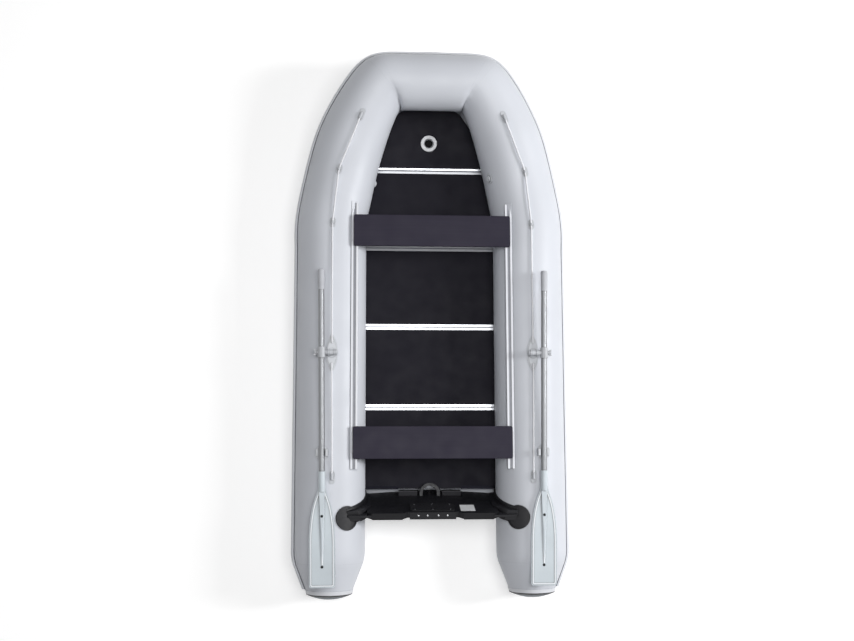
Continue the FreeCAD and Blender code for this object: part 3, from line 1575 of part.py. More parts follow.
def rope_route(spots):
    """Straight runs joined by tangent arcs, as one wire."""
    bend = size("rope_bend")
    edges = []
    start = spots[0]
    for before, corner, after in zip(spots, spots[1:], spots[2:]):
        back = (before - corner).normalize()
        ahead = (after - corner).normalize()
        turn = math.pi - back.getAngle(ahead)
        trim = bend * math.tan(turn / 2)
        first = corner + back * trim
        last = corner + ahead * trim
        inward = (back + ahead).normalize()
        middle = corner + inward * (bend / math.cos(turn / 2) - bend)
        edges.append(Part.makeLine(start, first))
        edges.append(Part.Arc(first, middle, last).toShape())
        start = last
    edges.append(Part.makeLine(start, spots[-1]))
    return Part.Wire(edges)


def make_lifelines(tools):
    """A taut line each side, from the bow tab over two guides to the oarlock and the stern."""
    tube = tools["starboard"].Shape
    lift = size("rope_lift")
    crown = lock_crown()
    rope_top = crown + size("lock_pad_top") + size("rope_radius") + size("rope_fit")
    reach = size("lock_rope_set")
    bow = spot_on_crown(BOW_TAB_SHARES, tube)
    guides = [spot_on_crown(shares, tube) for shares in GUIDE_SHARES]
    stern_x = size("stern_tab_x")
    stern_y = number(f"{TRANSOM_Y} + stern_tab_set")
    stern = Vector(stern_x, stern_y, tube_height(stern_x, stern_y, tube) + lift)
    eye = {way: Vector(size("lock_x"), number(LOCK_Y) + way * reach, rope_top)
           for way in (-1, 1)}
    drop = UP * (size("lock_pad_top") + size("rope_radius"))
    bend = size("rope_bend")
    fore = [bow] + guides[::-1] + [eye[1] + AHEAD * bend / 2, eye[1], eye[1] - drop]
    aft = [stern, eye[-1] - AHEAD * bend / 2, eye[-1], eye[-1] - drop]
    routes = [lifeline_route(spots) for spots in (fore, aft)]
    lines = [rope_along(route, size("rope_radius")) for route in routes]
    for route, line in zip(routes, lines):
        ideal = math.pi * size("rope_radius") ** 2 * route.Length
        print(f"lifeline: length {route.Length:.0f}, volume against its section times length "
              f"{line.Volume / ideal:.4f}")
    bore = rope_along(routes[0], size("rope_radius") + size("rope_fit"))
    tabs = []
    low = -lift - size("guide_wall") * 2
    headings = [((fore[0] - fore[1]), (fore[1] - fore[2])), ((fore[1] - fore[2]), (fore[2] - fore[3]))]
    for spot, (before, after) in ((guides[1], headings[0]), (guides[0], headings[1])):
        tabs.append(guide(spot, before.normalize() + after.normalize(), low, tube).cut(bore))
    tabs.append(tab(bow, fore[0] - fore[1], low, tube))
    tabs.append(tab(stern, aft[0] - aft[1], low, tube))
    line = feature("lifeline_starboard", Part.makeCompound(lines))
    group("lifelines", [line, mirror("lifeline_port", line)])
    fittings = feature("lifeline_tabs_starboard", Part.makeCompound(tabs))
    group("lifeline_tabs", [fittings, mirror("lifeline_tabs_port", fittings)])


def rope_along(route, radius):
    """A round rope that follows a route."""
    first = route.Edges[0]
    ring = Part.Wire(Part.makeCircle(radius, first.valueAt(first.FirstParameter),
                                     first.tangentAt(first.FirstParameter)))
    return route.makePipeShell([ring], True, True)


def lifeline_route(spots):
    """A route whose last bend, into the oarlock's eye, is as tight as the eye's edge."""
    tight = size("rope_radius") + size("rope_fit")
    corner = spots[-2]
    back = (spots[-3] - corner).normalize()
    ahead = (spots[-1] - corner).normalize()
    first = corner + back * tight
    last = corner + ahead * tight
    inward = (back + ahead).normalize()
    middle = corner + inward * tight * (math.sqrt(2) - 1)
    straight = rope_route(spots[:-2] + [first])
    edges = list(straight.Edges) + [Part.Arc(first, middle, last).toShape(),
                                    Part.makeLine(last, spots[-1])]
    return Part.Wire(edges)


def seated(shape, spot, heading, tube):
    """Turns a fitting to its heading, moves it to its place and trims it to the tube."""
    angle = math.degrees(math.atan2(heading.y, heading.x)) - 90
    tilt = math.degrees(math.atan2(heading.z, math.hypot(heading.x, heading.y)))
    turn = Rotation(UP, angle).multiply(Rotation(ACROSS, tilt))
    shape.Placement = Placement(spot, turn)
    trimmed = shape.cut(tube)
    return sorted(trimmed.Solids, key=lambda part: part.Volume)[-1]


def guide(spot, heading, low, tube):
    """A patch with a closed loop that the rope runs through."""
    wall = size("guide_wall")
    radius = size("rope_radius") + size("rope_fit")
    patch = stadium(size("guide_length"), size("guide_width"), low, -radius - wall / 2)
    long = size("guide_loop")
    hoop = Part.makeCylinder(radius + wall, long, Vector(0, -long / 2, 0), AHEAD)
    stem = Part.makeBox(2 * (radius + wall), long, radius + wall,
                        Vector(-radius - wall, -long / 2, -radius - wall))
    return seated(patch.fuse([hoop, stem]), spot, heading, tube)


def tab(spot, heading, low, tube):
    """An end tab: a longer patch whose boss takes the rope's end."""
    wall = size("guide_wall")
    radius = size("rope_radius") + size("rope_fit")
    long = size("tab_length")
    patch = stadium(long, size("tab_width"), low, -radius)
    patch.translate(AHEAD * long / 3)
    boss = Part.makeCylinder(radius + wall, long / 2, Vector(), AHEAD)
    return seated(patch.fuse(boss), spot, heading, tube)


# Fittings on the tubes.

def on_tube(sizes, elevation, side=STARBOARD, inner=True):
    """A place and outward turn on a tube section, raised above its level line."""
    out = outward(side, sizes["heading"]) * (-1 if inner else 1)
    angle = math.radians(elevation)
    normal = out * math.cos(angle) + UP * math.sin(angle)
    centre = Vector(side * number(sizes["x"]), number(sizes["y"]), number(sizes["z"]))
    return centre + normal * number(sizes["radius"]), normal


# Where the tube valves sit: the same values as a row of the bend's sections.
VALVE_SHARES = (0.38, 0.896, 0.026, 0.126, 14.2)


def make_tube_valves(tools):
    """An air valve with its screwed cap on each tube's inner side, the port one lower."""
    run, offset, taper, rise, heading = VALVE_SHARES
    sizes = {"x": f"tube_offset * {offset}", "y": f"{BEND_START} + bend_run * {run}",
             "z": f"tube_radius + bow_rise * {rise}",
             "radius": f"tube_radius + (bow_radius - tube_radius) * {taper}",
             "heading": heading}
    elevations = {"starboard": size("valve_elevation"), "port": size("valve_port_elevation")}
    sink = size("valve_cap_height")
    thick = size("valve_flange_height")
    cap = size("valve_cap_radius")
    valves = []
    for name, side in SIDES:
        spot, normal = on_tube(sizes, elevations[name], side)
        flange = Part.makeCylinder(size("valve_flange_radius"), thick + sink,
                                   spot - normal * sink, normal)
        stem = Part.makeCylinder(cap, thick + sink, spot, normal)
        knob = Part.makeCylinder(cap * 2 / 3, sink / 2, spot + normal * (thick + sink), normal)
        shape = flange.fuse([stem, knob]).cut(tools[name].Shape)
        solid = sorted(shape.Solids, key=lambda part: part.Volume)[-1]
        valves.append(feature("valve_" + name, solid))
    group("tube_valves", valves)


def make_bow_fittings(tools):
    """A carrying handle above the strake and a towing ring below it."""
    tube = tools["bow"].Shape
    spot, normal = on_tube(middle_sizes(), size("handle_lean"), STARBOARD, False)
    turn = Rotation(ACROSS, UP, normal, "ZXY")
    long = size("handle_length")
    foot = size("handle_foot")
    high = size("handle_height")
    radius = size("handle_radius")
    plate = size("handle_plate")
    sink = -size("overrun")
    shapes = []
    for way in (-1, 1):
        patch = stadium(foot * 2, foot, sink, plate)
        patch.rotate(Vector(), UP, 90)
        patch.translate(ACROSS * way * long / 2)
        shapes.append(patch)
    rise = [Vector(-long / 2, 0, 0), Vector(-long / 2 + high, 0, high),
            Vector(long / 2 - high, 0, high), Vector(long / 2, 0, 0)]
    for first, second in zip(rise, rise[1:]):
        way = second - first
        shapes.append(Part.makeCylinder(radius, way.Length, first, way))
    for joint in rise[1:3]:
        shapes.append(Part.makeSphere(radius, joint))
    handle = shapes[0].fuse(shapes[1:])
    handle.Placement = Placement(spot, turn)
    handle = sorted(handle.cut(tube).Solids, key=lambda part: part.Volume)[-1]
    node(feature("bow_handle", handle.removeSplitter()))
    spot, normal = on_tube(middle_sizes(), size("ring_lean"), STARBOARD, False)
    patch = Part.makeCylinder(size("ring_patch_radius"), size("ring_patch_height") - sink,
                              spot + normal * sink, normal)
    wide = size("tow_lug")
    tall = wide * 4 / 3
    lug = Part.makeBox(wide * 2 / 3, 2 * wide, tall)
    lug.translate(Vector(-wide / 3, -wide, 0))
    lug = lug.fuse(Part.makeCylinder(wide, wide * 2 / 3, Vector(-wide / 3, 0, tall), ACROSS))
    lug = lug.cut(Part.makeCylinder(size("tow_ring_wire") + 2 * size("skin_fit"), 2 * wide,
                                    Vector(-wide, 0, tall), ACROSS))
    lug.Placement = Placement(spot, Rotation(ACROSS, UP, normal, "ZXY"))
    base = patch.fuse(lug).cut(tube)
    node(feature("tow_patch", sorted(base.Solids, key=lambda part: part.Volume)[-1]))
    eye = spot + normal * size("tow_lug") * 4 / 3
    ring = Part.makeTorus(size("tow_ring_radius"), size("tow_ring_wire"),
                          eye - UP * size("tow_ring_radius"), AHEAD)
    node(feature("tow_ring", ring))


def check_and_write():
    """Stops on any failed object or bad shape, then writes one file for each node."""
    DOCUMENT.recompute()
    for thing in DOCUMENT.Objects:
        if "Invalid" in thing.State or "Error" in thing.State:
            raise ValueError(f"{thing.Label} did not rebuild: {thing.State}")
    os.makedirs("parts", exist_ok=True)
    for label, thing in NODES.items():
        shape = thing.Shape
        if shape.isNull() or not shape.isValid() or shape.Volume <= 0:
            raise ValueError(f"{label} has no sound shape")
        shape.exportStep(os.path.join("parts", label + ".step"))
        print(f"{label}: {len(shape.Solids)} solids, {shape.Volume / 1e6:.3f} litres")


def main():
    tools = make_tubes()
    make_caps()
    make_strakes(tools)
    make_bottom(tools)
    make_floor(tools)
    make_keel_valve()
    make_transom()
    make_holders()
    make_rails(tools)
    make_seat("seat_forward", f"{BEND_START} - seat_forward_set")
    make_seat("seat_aft", f"{TRANSOM_Y} + seat_aft_set")
    make_oars(tools)
    make_lifelines(tools)
    make_tube_valves(tools)
    make_bow_fittings(tools)
    check_and_write()


main()
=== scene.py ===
import math
from functools import partial

import bmesh
import bpy
import numpy as np
from mathutils import Matrix, Vector, noise
from mathutils.bvhtree import BVHTree


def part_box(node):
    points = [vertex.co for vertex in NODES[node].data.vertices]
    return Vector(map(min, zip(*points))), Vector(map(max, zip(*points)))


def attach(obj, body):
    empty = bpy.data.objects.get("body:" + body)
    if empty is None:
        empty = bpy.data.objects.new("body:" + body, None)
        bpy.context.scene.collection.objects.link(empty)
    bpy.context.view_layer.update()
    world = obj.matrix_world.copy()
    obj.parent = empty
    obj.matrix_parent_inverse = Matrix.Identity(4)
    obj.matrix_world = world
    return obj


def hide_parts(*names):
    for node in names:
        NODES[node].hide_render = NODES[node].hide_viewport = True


# Finish, fabric, ropes and small fittings of an inflatable keel boat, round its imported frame.
# Metres. +X is starboard, +Y the bow, +Z up.

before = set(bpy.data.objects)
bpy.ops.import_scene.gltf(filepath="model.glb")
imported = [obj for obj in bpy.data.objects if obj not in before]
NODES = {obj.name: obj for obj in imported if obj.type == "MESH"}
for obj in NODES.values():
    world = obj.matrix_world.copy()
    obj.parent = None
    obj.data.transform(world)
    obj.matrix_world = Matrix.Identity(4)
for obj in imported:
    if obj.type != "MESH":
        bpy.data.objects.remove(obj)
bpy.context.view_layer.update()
PORT, STARBOARD = -1, 1
SIDES = (("port", PORT), ("starboard", STARBOARD))
UP = Vector((0, 0, 1))
ACROSS = Vector((1, 0, 0))

# The hull's sizes, as the frame has them.
OVERALL = 3.300
TUBE_RADIUS = 0.210
TUBE_OFFSET = 0.605
BOW_RADIUS = 0.170
BOW_RISE = 0.190
STRAKE_DEPTH = 0.018
BOW_CENTRE = OVERALL / 2 - STRAKE_DEPTH - BOW_RADIUS
BEND_RUN = 0.860
BEND_START = BOW_CENTRE - BEND_RUN
BEND_LEAD = 0.150
CONE_TIP = -1.614
CONE_START = -1.414
CONE_RADIUS = 0.132
CONE_BLEND = 0.090
CAP_SKIRT = 0.022
CAP_LINE = 0.012
STERN_EDGE = -0.93
RAIL_CENTRE = 0.465
RAIL_TOP = 0.470
RAIL_GROOVE_HALF = 0.009
RAIL_GROOVE_DEPTH = 0.003

# The stowed blades' flat: its facing, how high it lies along it, and its edge's height; between
# these heights the raised edges get a painted highlight. Then the blades' holes, starboard, and
# the radius of the dark discs that paint the shade seen through them.
BLADE_FACING = (0.0, -0.02792, 0.99961)
BLADE_LEVEL = 0.47144
BLADE_FLAT = 0.0025
BLADE_EDGE = 0.0045
BLADE_SPINE = 0.0060
BLADE_SPINE_END = 0.0078
BLADE_HOLES = ((0.6463, -1.1529, 0.4517), (0.6430, -1.4408, 0.4336))
BLADE_HOLE_SHADE = 0.0075

# Sections of the bend: run, offset, taper and rise shares, heading in degrees. They follow the
# frame's, with the bow's corners blown out up to 10 mm squarer.
BEND_SHARES = (
    (0.000, 1.000, 0.00, 0.000, 0.0),
    (0.200, 0.953, 0.00, 0.030, 9.0),
    (0.407, 0.887, 0.03, 0.140, 15.0),
    (0.600, 0.805, 0.10, 0.330, 20.0),
    (0.760, 0.707, 0.37, 0.550, 27.0),
    (0.932, 0.563, 0.72, 0.840, 38.0),
    (0.993, 0.470, 0.82, 0.940, 57.5),
    (1.000, 0.348, 0.96, 0.985, 79.0),
)

# Which section is the bow's mitre, and how many are mirrored past the bow's middle.
SEAM = 6
MIRRORED = 3


# Colours, as they look under plain light.

def shade(red, green, blue):
    """A display colour from 0 to 255 as the linear colour that a shader takes."""
    linear = [((part / 255 + 0.055) / 1.055) ** 2.4 for part in (red, green, blue)]
    return (*linear, 1.0)


TUBE_GREY = shade(214, 217, 224)
TAPE_GREY = shade(208, 211, 219)
STRAKE_GREY = shade(222, 224, 229)
# Dark of the strake's valley line, and of its painted shade at the tube.
STRAKE_LINE_AND_SHADE = shade(92, 94, 102)
SKIN_GREY = shade(186, 189, 196)
FLOOR_BLACK = shade(25, 24, 31)
SEAT_CHARCOAL = shade(43, 40, 53)
TRANSOM_BLACK = shade(14, 14, 18)
HOLDER_BLACK = shade(22, 22, 26)
PAD_BLACK = shade(26, 26, 29)
STOP_BLACK = shade(38, 38, 42)
VALVE_BLACK = shade(13, 13, 15)
MOULDING_GREY = shade(208, 211, 216)
GRIP_GREY = shade(194, 196, 202)
BLADE_GREY = shade(206, 215, 221)
# White painted on the blades' raised edges as a highlight.
BLADE_HIGHLIGHT_WHITE = shade(238, 242, 246)
ROPE_WHITE = shade(250, 251, 255)
RAIL_WHITE = shade(232, 234, 240)
ALLOY = shade(205, 207, 212)
SHAFT_ALLOY = shade(138, 140, 143)
# Grey painted as the shade in the rails' and the joiners' grooves.
GROOVE_SHADE_GREY = shade(140, 142, 150)
TAB_GREY = shade(196, 199, 204)
STEEL = shade(190, 191, 194)
STICKER_WHITE = shade(232, 234, 236)
VALVE_WHITE = shade(232, 233, 236)
CAP_GREY = shade(104, 112, 120)
RIM_BLACK = shade(24, 25, 29)
HANDLE_LILAC = shade(190, 187, 205)


# Materials.

# Samples and span of the painted shade in corners and where pieces sit close.
SHADE_SAMPLES = 6
SHADE_SPAN = (0.35, 0.9)
POLISH_SPAN = (0.3, 0.7)
BRUSH_STRETCH = 60
WEAVE_SCALE = 560.0
WEAVE_HEIGHT = 0.00006
BLADE_CLEAR = 0.08
BLADE_CLEAR_REACH = 0.004

# How far a colour takes to turn into another at a drawn line.
FADE = 0.001
RAIL_FADE = 0.0004


def plug(tree, value, socket):
    """Links a node's output to a socket, or sets the socket's own value."""
    if isinstance(value, bpy.types.NodeSocket):
        tree.links.new(value, socket)
    else:
        socket.default_value = value


def added(tree, kind, sockets=None, **settings):
    """A new node with its settings, and with its sockets linked or set."""
    made = tree.nodes.new(kind)
    for name, value in settings.items():
        setattr(made, name, value)
    for name, value in (sockets or {}).items():
        plug(tree, value, made.inputs[name])
    return made


class Finish:
    """A material whose colour, roughness and bump are built up node by node."""

    def __init__(self, name, colour, roughness, metallic=0.0):
        self.material = bpy.data.materials.new(name)
        self.material.use_nodes = True
        self.tree = self.material.node_tree
        self.shader = self.tree.nodes["Principled BSDF"]
        self.shader.inputs["Base Color"].default_value = colour
        self.shader.inputs["Roughness"].default_value = roughness
        self.shader.inputs["Metallic"].default_value = metallic
        self.colour = colour
        self.plain = colour
        self.place = self.tree.nodes.new("ShaderNodeTexCoord").outputs["Object"]
        self.bump = None

    def node(self, kind, sockets, **settings):
        return added(self.tree, kind, sockets, **settings)

    def along(self, axis):
        """The object's coordinate along one axis."""
        return self.node("ShaderNodeSeparateXYZ", {"Vector": self.place}).outputs[axis]

    def stretched(self, x, y, z):
        """The object's coordinates at another scale along each axis."""
        sockets = {"Vector": self.place, "Scale": (x, y, z)}
        return self.node("ShaderNodeMapping", sockets).outputs[0]

    def grain(self, scale, detail, place=None):
        sockets = {"Vector": place or self.place, "Scale": scale, "Detail": detail}
        return self.node("ShaderNodeTexNoise", sockets).outputs["Fac"]

    def cells(self, scale):
        sockets = {"Vector": self.place, "Scale": scale}
        return self.node("ShaderNodeTexVoronoi", sockets).outputs["Distance"]

    def bands(self, scale, axis):
        made = self.node("ShaderNodeTexWave", {"Vector": self.place, "Scale": scale},
                         bands_direction=axis, wave_profile="SIN")
        return made.outputs["Fac"]

    def ramp(self, factor, low, high, first=0.0, last=1.0):
        sockets = {"Value": factor, "From Min": low, "From Max": high, "To Min": first,
                   "To Max": last}
        return self.node("ShaderNodeMapRange", sockets).outputs["Result"]

    def maths(self, operation, first, second=0.0):
        made = self.node("ShaderNodeMath", {0: first, 1: second}, operation=operation)
        return made.outputs[0]

    def mixed(self, factor, first, second):
        made = self.node("ShaderNodeMix", {"Factor": factor}, data_type="RGBA")
        for name, value in (("A", first), ("B", second)):
            socket = [s for s in made.inputs if s.name == name and s.type == "RGBA"][0]
            plug(self.tree, value, socket)
        return [s for s in made.outputs if s.type == "RGBA"][0]

    def tint(self, factor, other):
        """Blends towards another colour where the factor is high."""
        self.colour = self.mixed(factor, self.colour, other)
        self.tree.links.new(self.colour, self.shader.inputs["Base Color"])
        return self

    def mottled(self, factor, low, high, share):
        """Patches of the same colour, darker or paler, where the factor is high."""
        return self.tint(self.ramp(factor, low, high), darker(self.plain, share))

    def polish(self, factor, low, high):
        """Roughness that wanders between two values."""
        self.tree.links.new(self.ramp(factor, *POLISH_SPAN, low, high),
                            self.shader.inputs["Roughness"])
        return self

    def paint_shade_in_creases(self, reach, share):
        """Painted shade: darker in corners and where another piece sits close."""
        near = self.node("ShaderNodeAmbientOcclusion", {"Distance": reach},
                         samples=SHADE_SAMPLES)
        return self.tint(self.ramp(near.outputs["AO"], *SHADE_SPAN, 1.0, 0.0),
                         darker(self.plain, share))

    def relief(self, height, distance, strength):
        """A bump layer over the ones before it."""
        sockets = {"Height": height, "Distance": distance, "Strength": strength}
        made = self.node("ShaderNodeBump", sockets)
        if self.bump:
            self.tree.links.new(self.bump, made.inputs["Normal"])
        self.bump = made.outputs["Normal"]
        self.tree.links.new(self.bump, self.shader.inputs["Normal"])
        return self

    def dull(self, level):
        """How much the surface mirrors: a half is the usual plastic."""
        self.shader.inputs["Specular IOR Level"].default_value = level
        return self


def darker(colour, share):
    return (*[part * share for part in colour[:3]], 1.0)


def coated_fabric(name, colour, roughness=0.42):
    """Welded boat fabric: a smooth coat that lets its weave show faintly."""
    made = Finish(name, colour, roughness)
    made.mottled(made.grain(2.2, 3.0), 0.35, 0.7, 0.95)
    made.polish(made.grain(9.0, 2.0), roughness - 0.06, roughness + 0.08)
    weave = made.maths("MULTIPLY", made.bands(WEAVE_SCALE, "X"), made.bands(WEAVE_SCALE, "Y"))
    made.relief(weave, WEAVE_HEIGHT, 0.5)
    made.relief(made.grain(14.0, 2.0), 0.0010, 0.3)
    # Painted shade, darker in creases and where other pieces sit close.
    return made.paint_shade_in_creases(0.010, 0.6).dull(0.3).material


def moulded(name, colour, roughness=0.4, fleck=900.0, shine=0.4):
    """Moulded plastic or rubber with a fine spark-eroded grain."""
    made = Finish(name, colour, roughness)
    made.mottled(made.grain(18.0, 3.0), 0.35, 0.75, 0.88)
    made.polish(made.grain(60.0, 2.0), roughness - 0.07, roughness + 0.09)
    # Painted shade, darker in creases and where other pieces sit close.
    made.paint_shade_in_creases(0.010, 0.4)
    return made.relief(made.grain(fleck, 1.0), 0.00012, 0.5).dull(shine).material


def floor_coating():
    """Black film on plywood with a close non-slip pattern."""
    made = Finish("floor_coating", FLOOR_BLACK, 0.6)
    made.mottled(made.grain(1.6, 2.0), 0.35, 0.75, 1.25)
    made.polish(made.grain(12.0, 3.0), 0.52, 0.68)
    made.relief(made.cells(420.0), 0.0003, 0.5)
    return made.relief(made.grain(3.0, 2.0), 0.002, 0.2).dull(0.1).material


def seat_paint():
    """Charcoal film over wood, the grain just showing along the bench."""
    made = Finish("seat_paint", SEAT_CHARCOAL, 0.55)
    grain = made.grain(1.0, 5.0, made.stretched(3.0, 70.0, 70.0))
    made.mottled(grain, 0.35, 0.7, 0.92)
    made.polish(made.grain(10.0, 3.0), 0.48, 0.62)
    return made.relief(grain, 0.0002, 0.25).dull(0.15).material


def transom_paint():
    """Black film over the transom's plywood, its faces scuffed a little."""
    made = Finish("transom_paint", TRANSOM_BLACK, 0.5)
    scuff = made.grain(7.0, 6.0, made.stretched(1.0, 1.0, 4.0))
    made.mottled(scuff, 0.58, 0.82, 2.4)
    made.polish(made.grain(22.0, 3.0), 0.42, 0.6)
    return made.relief(made.grain(320.0, 2.0), 0.0002, 0.5).dull(0.25).material


def brushed(name, colour, roughness, scale, along, metallic=1.0):
    """Drawn or brushed metal with fine lines along one axis."""
    made = Finish(name, colour, roughness, metallic)
    stretch = [scale] * 3
    stretch["XYZ".index(along)] = scale / BRUSH_STRETCH
    lines = made.grain(1.0, 3.0, made.stretched(*stretch))
    made.mottled(lines, 0.3, 0.75, 0.82)
    made.polish(lines, roughness - 0.07, roughness + 0.1)
    # Painted shade, darker in creases and where other pieces sit close.
    made.paint_shade_in_creases(0.008, 0.35)
    made.relief(lines, 0.00004, 0.6)
    return made


def joiner_alloy():
    """Floor joiners: bright extrusions, black along the floor's stern edge."""
    made = brushed("joiner_alloy", ALLOY, 0.34, 900.0, "X")
    black = made.ramp(made.along("Y"), STERN_EDGE - FADE, STERN_EDGE, 1.0, 0.0)
    made.tint(black, TRANSOM_BLACK)
    return made.material


def rail_plastic():
    """Seat rails: pale edges beside a groove whose floor is painted grey as shade."""
    made = Finish("rail_plastic", RAIL_WHITE, 0.42)
    made.polish(made.grain(60.0, 2.0), 0.36, 0.5)
    # Painted shade: the groove's floor, below the rail's top, is tinted grey.
    aside = made.maths("SUBTRACT", made.maths("ABSOLUTE", made.along("X")), RAIL_CENTRE)
    across = made.ramp(made.maths("ABSOLUTE", aside), RAIL_GROOVE_HALF - RAIL_FADE,
                       RAIL_GROOVE_HALF, 1.0, 0.0)
    low = made.ramp(made.along("Z"), RAIL_TOP - RAIL_GROOVE_DEPTH, RAIL_TOP - FADE, 1.0, 0.0)
    made.tint(made.maths("MULTIPLY", across, low), GROOVE_SHADE_GREY)
    # Painted shade in creases and where other pieces sit close.
    made.paint_shade_in_creases(0.010, 0.5)
    return made.relief(made.grain(800.0, 1.0), 0.0001, 0.5).material


def rope_fibre():
    """Braided white polyester."""
    made = Finish("rope_fibre", ROPE_WHITE, 0.7)
    fibre = made.grain(1.0, 2.0, made.stretched(900.0, 90.0, 900.0))
    made.mottled(fibre, 0.35, 0.75, 0.86)
    made.shader.inputs["Sheen Weight"].default_value = 0.2
    return made.relief(fibre, 0.0002, 0.6).dull(0.2).material


def strake_rubber():
    """Extruded rub strake: pale beads, dark along the valley, painted shade at the tube."""
    made = Finish("strake_rubber", STRAKE_GREY, 0.5)
    line = made.node("ShaderNodeAttribute", {}, attribute_name="valley")
    made.tint(line.outputs["Fac"], STRAKE_LINE_AND_SHADE)
    made.polish(made.grain(25.0, 3.0), 0.42, 0.58)
    return made.relief(made.grain(500.0, 1.0), 0.0001, 0.5).dull(0.3).material


def blade_plastic():
    """Pale, faintly translucent moulded blade, a painted highlight on its raised edges."""
    made = Finish("blade_plastic", BLADE_GREY, 0.38)
    made.mottled(made.grain(6.0, 3.0), 0.4, 0.75, 0.9)
    # Painted highlight: the raised edges and the spine's foot turn whiter by their height over
    # the flat.
    level = made.node("ShaderNodeVectorMath", {0: made.place, 1: BLADE_FACING},
                      operation="DOT_PRODUCT")
    above = made.maths("ABSOLUTE", made.maths("SUBTRACT", level.outputs["Value"], BLADE_LEVEL))
    edge = made.maths("MULTIPLY", made.ramp(above, BLADE_FLAT, BLADE_EDGE),
                      made.ramp(above, BLADE_SPINE, BLADE_SPINE_END, 1.0, 0.0))
    made.tint(edge, BLADE_HIGHLIGHT_WHITE)
    made.polish(made.grain(18.0, 2.0), 0.28, 0.42)
    made.shader.inputs["Subsurface Weight"].default_value = BLADE_CLEAR
    made.shader.inputs["Subsurface Radius"].default_value = [BLADE_CLEAR_REACH] * 3
    # Painted shade: dark lines in the creases beside the raised edges and the spine.
    made.paint_shade_in_creases(0.014, 0.06)
    return made.relief(made.grain(700.0, 1.0), 0.00006, 0.5).material


def cap_rubber():
    """Stern cap: a pale skirt, a black line at the tube's tip and a grey dome behind it."""
    made = Finish("cap_rubber", CAP_GREY, 0.5)
    for start, colour in ((CONE_TIP - CAP_LINE, RIM_BLACK), (CONE_TIP, STRAKE_GREY)):
        made.tint(made.ramp(made.along("Y"), start, start + FADE), colour)
    made.polish(made.grain(40.0, 3.0), 0.42, 0.58)
    return made.relief(made.grain(420.0, 2.0), 0.00015, 0.5).dull(0.35).material


MATERIALS = {
    "tube": coated_fabric("tube_fabric", TUBE_GREY),
    "tape": coated_fabric("seam_tape", TAPE_GREY, 0.44),
    "skin": coated_fabric("bottom_fabric", SKIN_GREY, 0.5),
    "strake": strake_rubber(),
    "guard": moulded("keel_rubber", darker(SKIN_GREY, 0.6), 0.5),
    "cap": cap_rubber(),
    "floor": floor_coating(),
    "seat": seat_paint(),
    "seat_foot": moulded("seat_foot_plastic", RAIL_WHITE, 0.4, shine=0.3),
    "transom": transom_paint(),
    "holder": moulded("holder_rubber", HOLDER_BLACK, 0.45, 600.0, 0.3),
    "trim": moulded("trim_rubber", TRANSOM_BLACK, 0.42, 700.0, 0.25),
    "pad": moulded("motor_pad_plastic", PAD_BLACK, 0.48, 500.0, 0.25),
    "stop": moulded("floor_stop_plastic", STOP_BLACK, 0.45, 600.0, 0.3),
    "alloy_across": joiner_alloy(),
    "alloy_along": brushed("shaft_alloy", SHAFT_ALLOY, 0.40, 900.0, "Y", 0.6).material,
    "steel": brushed("pin_steel", STEEL, 0.24, 1200.0, "X").material,
    "moulding": moulded("fitting_plastic", MOULDING_GREY, 0.4),
    "valve_white": moulded("valve_plastic", VALVE_WHITE, 0.4),
    "grip": moulded("grip_rubber", GRIP_GREY, 0.55, 500.0, 0.3),
    "clamp": moulded("clamp_plastic", darker(MOULDING_GREY, 0.8), 0.4),
    "blade": blade_plastic(),
    "rope": rope_fibre(),
    "rail": rail_plastic(),
    "tab": moulded("tab_plastic", TAB_GREY, 0.45),
    "handle": moulded("handle_rubber", HANDLE_LILAC, 0.5, 500.0),
    "valve_dark": moulded("keel_valve_plastic", VALVE_BLACK, 0.5, shine=0.05),
    "groove": moulded("groove_shadow", GROOVE_SHADE_GREY, 0.6, shine=0.2),
    "label": moulded("blank_label", STICKER_WHITE, 0.4, 300.0),
}

# Which nodes of the frame wear each material.
CAD_FINISHES = {
    "seat": "seat_forward seat_aft",
    "seat_foot": "seat_forward_feet seat_aft_feet",
    "rail": "seat_rail_port seat_rail_starboard",
    "floor": "floor_board_stern floor_board_after floor_board_middle floor_board_forward "
             "floor_board_bow",
    "transom": "transom_board",
    "trim": "transom_trims",
    "pad": "motor_pad_outer motor_pad_inner motor_pad_cap",
    "stop": "floor_stops drain_arch",
    "holder": "drain_plug transom_holder_port transom_holder_starboard",
    "cap": "stern_cap_port stern_cap_starboard",
    "alloy_across": "floor_joiners",
    "alloy_along": "floor_stringers oar_shaft_port oar_shaft_starboard",
    "valve_white": "valve_ring",
    "valve_dark": "keel_valve",
    "skin": "air_keel",
    "guard": "keel_guard",
    "moulding": "oarlock_pads oar_clips tube_valves oarlock_swivel_port "
                "oarlock_swivel_starboard",
    "clamp": "oarlock_pin_port oarlock_pin_starboard oar_clamp_port oar_clamp_starboard",
    "grip": "oar_grip_port oar_grip_starboard",
    "blade": "oar_blade_port oar_blade_starboard",
    "tab": "lifeline_tabs",
    "handle": "bow_handle",
    "tape": "tow_patch",
    "steel": "tow_ring",
}


def dress_frame():
    """Gives every kept piece of the frame its material."""
    for finish, names in CAD_FINISHES.items():
        for name in names.split():
            mesh = NODES[name].data
            mesh.materials.clear()
            mesh.materials.append(MATERIALS[finish])


# Mesh building.

CREASE = math.radians(48)
SKIN_CREASE = math.radians(35)
WELD = 1e-6
SKIN_WELD = 1e-5


def placed(name, data):
    """A new object of the scene round its mesh, curve, lamp or camera."""
    made = bpy.data.objects.new(name, data)
    bpy.context.scene.collection.objects.link(made)
    return made


